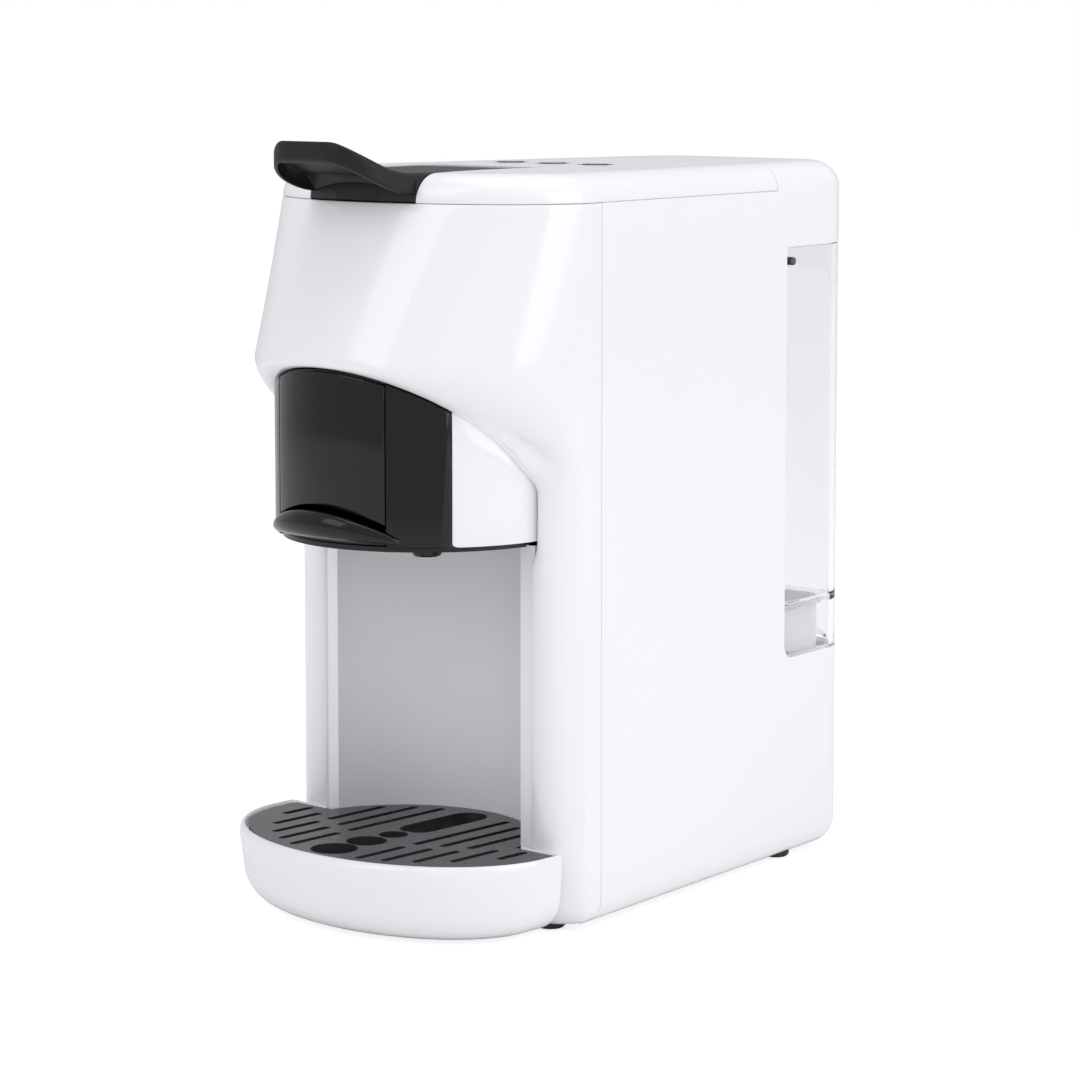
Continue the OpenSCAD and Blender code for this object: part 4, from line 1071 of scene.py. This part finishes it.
@dataclass
class Lever:
    """Paddle, tongue, hinge barrel, cam and the apron that follows the head's front."""

    form: BodyForm
    half: float = 26.5
    tip_half: float = 24.0
    tip_round: float = 15.0
    reach: float = 79.5
    height: float = 285.6
    rise_at: float = 48.0
    thick: float = 7.7
    hinge_y: float = 7.0
    barrel: float = 6.2
    cam_r: float = 22.0
    cam_draw: float = 8.0
    cam_half: float = 6.0
    open_deg: float = 70.0
    top_drop: float = 0.3
    hinge_drop: float = 6.5
    neck: float = 5.7
    roof: float = 1.9
    nose_high: float = 2.2
    nose_low: float = 0.9
    taper_from: float = 40.0
    thicken_from: float = 38.0
    hollow_from: float = 50.0
    edge_r: float = 2.8
    barrel_r: float = 0.6

    @property
    def hinge_z(self) -> float:
        """Height of the hinge's axis."""
        return self.form.crest - self.hinge_drop

    def top(self, y: Array) -> Array:
        """Height of the top at y: level, then rising with the square of the distance to the tip."""
        low = self.form.crest - self.top_drop
        u = np.maximum(0, (-np.asarray(y, float) - self.rise_at) / (self.reach - self.rise_at))
        return low + (self.height - low) * u * u

    def section(self, y: float, w: float, top: float, low: float, hollow: float, r: float) -> Array:
        """Closed cross-section at y: a bar with rounded edges and a hollow underside.

        Args:
            y: Place along the lever.
            w: Half width.
            top: Height of the top.
            low: Height of the underside's rim.
            hollow: Height of the hollow's ceiling.
            r: Radius of the upper edges.

        Returns:
            Points [n, 3] round the section.
        """
        q = min(0.9, (top - low) / 2.2)
        r = min(r, (top - low) / 2.2)
        a = np.radians(np.linspace(90, 0, 7))
        b = np.radians(np.linspace(0, -90, 6))
        x = np.concatenate([np.linspace(0, w - r, 9)[:-1], w - r + r * np.cos(a), w - q + q * np.cos(b),
                            [w - 1.9, w - 2.0, w - 2.3, w - 3.2], np.linspace(w - 3.2, 0, 8)[1:]])
        z = np.concatenate([np.full(8, top), top - r + r * np.sin(a), low + q + q * np.sin(b),
                            low + (hollow - low) * np.array([0.0, 0.25, 0.8, 1.0]), np.full(7, hollow)])
        right = curve(x, y, z)
        return np.concatenate([right, right[-2:0:-1] * MIRROR])

    def body(self, skin: Skin) -> None:
        """Adds paddle, tongue and barrel as one run of sections from the hinge to the tip."""
        crest = self.form.crest - self.top_drop
        sections = []
        for b in np.radians([88, 70, 50, 30, 12, 0]):
            y = self.hinge_y + self.barrel * math.sin(b)
            h = self.barrel * math.cos(b)
            sections.append(self.section(y, self.half, self.hinge_z + h, self.hinge_z - h,
                                         self.hinge_z - h, self.barrel_r))
        for y in (4.0, 0.0, -3.0):
            low = self.hinge_z - self.barrel + 6.4 * float(ease((self.hinge_y - y) / 10))
            sections.append(self.section(y, self.half, crest, low, low, self.barrel_r))
        near_tip = np.array([3.4, 2.8, 2.2, 1.7, 1.25, 0.85, 0.5, 0.25, 0.1, 0.02])
        for y in np.concatenate([[-10, -20, -30, -36],
                                 np.linspace(-self.taper_from, 4 - self.reach, 28),
                                 near_tip - self.reach]):
            to_tip = self.reach + y
            u = float(np.clip((-y - self.taper_from) / (self.reach - self.taper_from), 0, 1))
            w = self.half - (self.half - self.tip_half) * u - fallen(self.tip_round, to_tip)
            thick = self.neck + (self.thick - self.neck) * float(ease((-y - self.thicken_from) / 8))
            top = float(self.top(y)) - fallen(self.nose_high, to_tip)
            low = float(self.top(y)) - thick + fallen(self.nose_low, to_tip)
            hollow = float(ease((-y - self.hollow_from) / 6)) * float(ease((to_tip - 1.7) / 1.3))
            sections.append(self.section(y, w, top, low, low + (thick - self.roof) * hollow, self.edge_r))
        skin.tube(rows(*sections))

    def apron(self, skin: Skin) -> None:
        """Adds the apron: a rounded bar section carried along the head's half ellipse."""
        f = self.form
        x = np.linspace(-self.half, self.half, 41)
        cross = np.sqrt(1 - (x / f.half) ** 2)
        line = []
        for draw, z in ((0.3, 262.75), (0.0, 263.1), (0.0, 266.0), (0.0, 268.6), (0.35, 269.8),
                        (1.3, 270.9), (2.6, 271.3), (5.0, 271.3), (5.0, 262.75)):
            line.append(curve(x, -f.plan_shift - (f.top_out - 0.4 - draw) * cross, z))
        skin.tube(np.stack(line, 1))

    def cam(self, skin: Skin) -> None:
        """Adds the cam: a plate whose radius shrinks evenly with the angle."""
        a = np.radians(np.linspace(0, self.open_deg + 8, 20))
        r = self.cam_r - self.cam_draw * a / math.radians(self.open_deg)
        y = np.concatenate([r * np.sin(a), [5.0, 0.0, -5.0, -4.0]])
        z = np.concatenate([-r * np.cos(a), [0.0, 4.0, 0.0, -self.cam_r + 2]])
        skin.tube(rows(*[curve(s * self.cam_half, self.hinge_y - y, self.hinge_z + z) for s in (-1, 1)]))

    def build(self, cabinet: FinishCabinet) -> bpy.types.Object:
        """Makes the lever as one piece."""
        skin = Skin()
        self.body(skin)
        self.apron(skin)
        self.cam(skin)
        obj = skin.piece("lever_moulding", (0, -30, 268), sharp=40)
        return hand_in(obj, "lever", "lever", Finish.CHARCOAL, cabinet)


@dataclass
class DripTray:
    """Boat-shaped front bowl with its rim and basin, and the round trough behind it."""

    a: float = 70.0
    b: float = 52.0
    middle: float = -30.0
    back: float = -21.3
    rim: float = 30.0
    seat: float = 26.7
    low: float = 0.72
    rounding: float = 14.5
    draft: float = 2.2
    niche_r: float = 49.0
    niche_y: float = -33.5
    bow_low: float = 12.0
    uncut: float = 99.0

    def ring(self, inset: float, z: float, back: float, sunk: float) -> Array:
        """Closed plan loop at height z: half ellipse, short straight sides and a straight back.

        Args:
            inset: Draw-in of the ellipse.
            z: Height.
            back: Place of the straight back.
            sunk: Height that the middle of the back is lowered to, or uncut.

        Returns:
            Points [n, 3].
        """
        t = np.linspace(np.pi / 2, -np.pi / 2, 91)
        side = max(0.35 * inset, inset - 1.4) if z > self.bow_low else inset - 1.43
        a, b = self.a - side, self.b - inset
        bow = curve(a * np.sin(t), self.middle - b * np.cos(t), z)
        right = a * np.array([1, 0.9, 0.8, 50.5 / a, 49.5 / a, 0.4, 0])
        x = -both_halves(right, -1)
        height = np.where(np.abs(x) < 50, min(z, sunk), z)
        return np.concatenate([bow, curve(x, back, height)])

    def build(self, cabinet: FinishCabinet) -> bpy.types.Object:
        """Makes the tray: rings up the outside, over the rim and down into the basin, and a
        trough with a round plan."""
        skin = Skin()
        loops = []
        for t in np.radians([0, 8, 16, 26, 36, 48, 60, 74, 90]):
            loops.append(self.ring(self.draft + self.rounding * (1 - math.sin(t)),
                                   self.low + self.rounding * (1 - math.cos(t)), self.back, self.uncut))
        loops.append(self.ring(1.1, 21.0, self.back, self.uncut))
        for t in np.radians([0, 20, 40, 60, 78, 90]):
            loops.append(self.ring(2.4 * (1 - math.cos(t)), self.rim - 3 + 3 * math.sin(t), self.back,
                                   self.seat))
        for inset, z, back in ((2.75, 29.95, -21.6), (3.1, 29.5, -21.8), (3.2, 27.0, -22.0),
                               (3.2, 26.7, -22.0), (5.6, 26.7, -24.0), (6.0, 26.3, -24.2),
                               (6.3, 7.0, -24.6), (8.0, 5.2, -26.0), (11.0, 5.0, -28.0)):
            loops.append(self.ring(inset, z, back, self.seat))
        skin.tube(rows(*loops))
        start = math.asin((self.back + 0.2 - self.niche_y) / self.niche_r)
        t = np.linspace(start, np.pi - start, 61)
        trough = []
        for draw, z in ((3, 8.5), (0.6, 9.2), (0, 11.0), (0, 26.4), (0.4, 26.75), (2.2, 26.75),
                        (2.6, 26.2), (2.8, 12.0), (6, 11.0)):
            r = self.niche_r - draw
            arc = curve(r * np.cos(t), self.niche_y + r * np.sin(t), z)
            x = np.linspace(arc[-1, 0], arc[0, 0], 12)[1:-1]
            trough.append(np.concatenate([arc, curve(x, arc[-1, 1], z)]))
        skin.tube(rows(*trough))
        obj = skin.piece("tray_moulding", (0, -45, 12), sharp=40)
        return hand_in(obj, "drip_tray", "drip_tray", Finish.GLOSS_WHITE, cabinet)


@dataclass
class WaterTank:
    """Clear tank: thin walls with rounded rear corners and a raised floor."""

    rear: RearMoulding
    front: float = 125.8
    low: float = 81.0
    high: float = 240.3
    wall: float = 2.0
    floor: float = 100.5
    corner: float = 5.0
    rear_corner: float = 4.0
    inner_corner: float = 2.0
    floor_round: float = 1.2
    clear: float = 0.2

    def loop(self, inset: float) -> Array:
        """Closed plan outline [n, 2] drawn in by inset, with small rounded front corners."""
        plan = self.rear.path(self.clear + inset, self.clear + inset)
        n = len(plan)
        keep = plan[self.rear.path(0, 0)[:, 1] > self.front + 6.0]
        half = float(plan[:n // 2][np.argmin(np.abs(plan[:n // 2, 1] - self.front)), 0])
        r = self.inner_corner
        t = np.radians(np.linspace(0, 90, 6))
        left = np.stack([-(half - r + r * np.cos(t)), self.front + inset + r - r * np.sin(t)], 1)
        x = np.linspace(-(half - r), half - r, 21)[1:-1]
        wall = np.stack([x, np.full(x.shape, self.front + inset)], 1)
        return np.concatenate([keep, left, wall, left[::-1] * MIRROR[:2]])

    def lower_edge(self, y: Array) -> Array:
        """Height of the lower edge at y: quarter circles at front and back, flat between."""
        near, far = self.corner, self.rear_corner
        f = np.clip(self.front + near - y, 0, near)
        b = np.clip(y - (self.rear.form.depth - far), 0, far)
        return (self.low + near - np.sqrt(near ** 2 - f * f)
                + far - np.sqrt(np.maximum(0, far ** 2 - b * b)))

    def build(self, cabinet: FinishCabinet) -> bpy.types.Object:
        """Makes the tank: outer wall, inner wall down to the floor, and the skirt under it."""
        skin = Skin()
        outer, inner = self.loop(0.0), self.loop(self.wall)
        zo, zi = self.lower_edge(outer[:, 1]), self.lower_edge(inner[:, 1])
        close = self.loop(self.wall + self.floor_round)
        lines = [curve(*outer.T, zo + (self.high - zo) * u) for u in (0.0, 0.08, 0.3, 0.6, 0.9, 1.0)]
        lines += [curve(*inner.T, self.high), curve(*inner.T, self.floor + self.floor_round),
                  curve(*close.T, self.floor)]
        skin.grid(rows(*lines), wrap=True)
        skin.lid(lines[-1])
        below = [curve(*inner.T, self.floor - self.wall), curve(*inner.T, zi)]
        skin.grid(rows(*below), wrap=True)
        skin.lid(below[0])
        skin.grid(rows(below[1], lines[0]), wrap=True)
        obj = skin.piece("tank_moulding", (0, 150, 150), sharp=40)
        return hand_in(obj, "tank", "tank", Finish.CLEAR_TANK, cabinet)


# ----------------------------------------------------------------------------- carried-over nodes


NODE_FINISH = {
    Finish.GLOSS_WHITE: ("head_skirt", "tank_plinth"),
    Finish.SOFT_GREY: ("niche_panel", "base_plate"),
    Finish.GLOSS_BLACK: ("head_bezel", "spout_plate", "spout_nozzle", "pod_drawer", "button_left",
                         "button_middle", "button_right"),
    Finish.GRID_GREY: ("drip_grid", "button_rings"),
    Finish.FOOT_RUBBER: ("foot_front_left", "foot_front_right", "foot_rear_left", "foot_rear_right",
                         "pump_mounts", "power_gland"),
    Finish.SEAL_RUBBER: ("piston_seal",),
    Finish.HOSE_RUBBER: ("supply_hose", "pressure_hose"),
    Finish.CLEAR_WHITE: ("tank_valve", "tank_port", "flow_meter"),
    Finish.STEEL: ("lever_pin", "lever_clips", "needle_plate", "pod_cup", "base_screws",
                   "boiler_bracket"),
    Finish.ALUMINIUM: ("boiler",),
    Finish.FRAME_GREY: ("brew_frame", "brew_piston", "tank_catches"),
    Finish.CHASSIS_GREY: ("chassis",),
    Finish.BOARD_GREEN: ("control_board", "power_board"),
    Finish.PUMP_TAN: ("pump",),
}


def dress_nodes(cabinet: FinishCabinet) -> None:
    """Gives every carried-over CAD node its finish."""
    for finish, names in NODE_FINISH.items():
        for name in names:
            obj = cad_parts[name]
            if not obj.material_slots:
                obj.data.materials.append(cabinet.get(finish))
            for entry in obj.material_slots:
                entry.material = cabinet.get(finish)


# ----------------------------------------------------------------------------- studio


@dataclass
class Studio:
    """Camera, lamps, floor and surroundings."""

    eye: tuple = (0.8947, -0.9842, 0.3195)
    azimuth: float = 42.36
    pitch: float = 6.0
    lens: float = 117.12
    shift: float = -0.1201
    middle: tuple = (0.0, 0.0, 0.15)
    lamps: tuple = (
        ("right_bank", (1.5, 0.25, 0.75), (1.3, 1.2), 8.5, True),
        ("front_bank", (-0.35, -1.6, 1.1), (1.0, 1.8), 4.5, False),
        ("head_strip", (-0.30, -1.55, 1.35), (0.8, 1.1), 3.5, True),
        ("top_bank", (0.1, 0.1, 1.7), (1.2, 1.2), 7, True),
    )
    room_tint: tuple = (0.95, 0.97, 1.0, 1)
    room_light: float = 0.62
    paper_tint: tuple = (0.92, 0.92, 0.925, 1)
    paper_glow: float = 1.35
    paper_share: float = 0.62

    def camera(self) -> None:
        """Sets the camera at the viewing angle, with a small shift for the framing."""
        data = bpy.data.cameras.new("camera")
        data.lens = self.lens
        data.sensor_width = 36.0
        data.shift_y = self.shift
        data.clip_start = 0.05
        obj = bpy.data.objects.new("camera", data)
        obj.location = self.eye
        obj.rotation_euler = (math.radians(90 - self.pitch), 0, math.radians(self.azimuth))
        bpy.context.scene.collection.objects.link(obj)
        bpy.context.scene.camera = obj

    def lamp(self, name: str, place: tuple, size: tuple, watts: float, mirrored: bool) -> None:
        """Adds a large soft lamp that faces the machine's middle.

        Args:
            name: The lamp's name.
            place: Where it stands, in metres.
            size: Its width and height.
            watts: Its power.
            mirrored: Whether glossy surfaces reflect it.
        """
        data = bpy.data.lights.new(name, "AREA")
        data.shape = "RECTANGLE"
        data.size, data.size_y = size
        data.energy = watts
        obj = bpy.data.objects.new(name, data)
        obj.location = place
        obj.visible_glossy = mirrored
        away = np.array(self.middle) - np.array(place)
        obj.rotation_euler = (math.acos(-away[2] / np.linalg.norm(away)), 0,
                              math.atan2(away[1], away[0]) - math.pi / 2)
        bpy.context.scene.collection.objects.link(obj)

    def seen_apart(self, graph: Graph, lit: bpy.types.Node, seen: bpy.types.Node, share: float,
                   output: str) -> None:
        """Gives camera and transmitted rays another look than the rays that carry light.

        Args:
            graph: The tree.
            lit: Shader for every other ray.
            seen: Shader that is mixed in for camera and transmitted rays.
            share: How much of it is mixed in.
            output: Type of the output node, without the prefix ShaderNode.
        """
        path = graph.add("LightPath", {}).outputs
        direct = graph.add("Math", {0: path["Is Camera Ray"], 1: path["Is Transmission Ray"]},
                           operation="MAXIMUM")
        factor = graph.add("Math", {0: direct.outputs[0], 1: share}, operation="MULTIPLY")
        mix = graph.add("MixShader", {"Fac": factor.outputs[0], 1: lit.outputs[0], 2: seen.outputs[0]})
        graph.add(output, {"Surface": mix.outputs[0]})

    def world(self) -> None:
        """White surroundings for what is seen directly, and softer ones for the light."""
        world = bpy.data.worlds.new("studio")
        world.use_nodes = True
        bpy.context.scene.world = world
        graph = Graph(world.node_tree)
        graph.nodes.clear()
        soft = graph.add("Background", {"Color": self.room_tint, "Strength": self.room_light})
        white = graph.add("Background", {"Color": (1, 1, 1, 1)})
        self.seen_apart(graph, soft, white, 1.0, "OutputWorld")

    def floor(self) -> None:
        """Pale floor that keeps the machine's shadow."""
        t = np.linspace(-1, 1, 3)
        x, y = np.meshgrid(t * 3.0, t * 3.0)
        mesh = bpy.data.meshes.new("floor")
        faces = [(k, k + 1, k + 4, k + 3) for k in (0, 1, 3, 4)]
        mesh.from_pydata(curve(x, y, -0.0004).reshape(-1, 3).tolist(), [], faces)
        obj = bpy.data.objects.new("floor", mesh)
        bpy.context.scene.collection.objects.link(obj)
        material = bpy.data.materials.new("floor_paper")
        material.use_nodes = True
        graph = Graph(material.node_tree)
        graph.nodes.clear()
        paper = graph.add("BsdfDiffuse", {"Color": self.paper_tint})
        glow = graph.add("Emission", {"Strength": self.paper_glow})
        self.seen_apart(graph, paper, glow, self.paper_share, "OutputMaterial")
        mesh.materials.append(material)

    def build(self) -> None:
        """Sets up the whole studio."""
        self.camera()
        self.world()
        self.floor()
        for lamp in self.lamps:
            self.lamp(*lamp)
        bpy.context.scene.view_settings.view_transform = "Standard"


def main() -> None:
    """Builds the studio and every piece, and reports each one."""
    logging.basicConfig(level=logging.INFO, format="%(name)s: %(message)s")
    cabinet = FinishCabinet()
    Studio().build()
    dress_nodes(cabinet)
    form = BodyForm()
    rear = RearMoulding(form)
    front = FrontMoulding(form)
    for part in (front, rear, TopCover(form), BrewHead(front), Lever(form), DripTray(), WaterTank(rear)):
        made = part.build(cabinet)
        for obj in made if isinstance(made, list) else [made]:
            LOG.info("%s: %d faces", obj.name, len(obj.data.polygons))


if __name__ == "__main__":
    main()
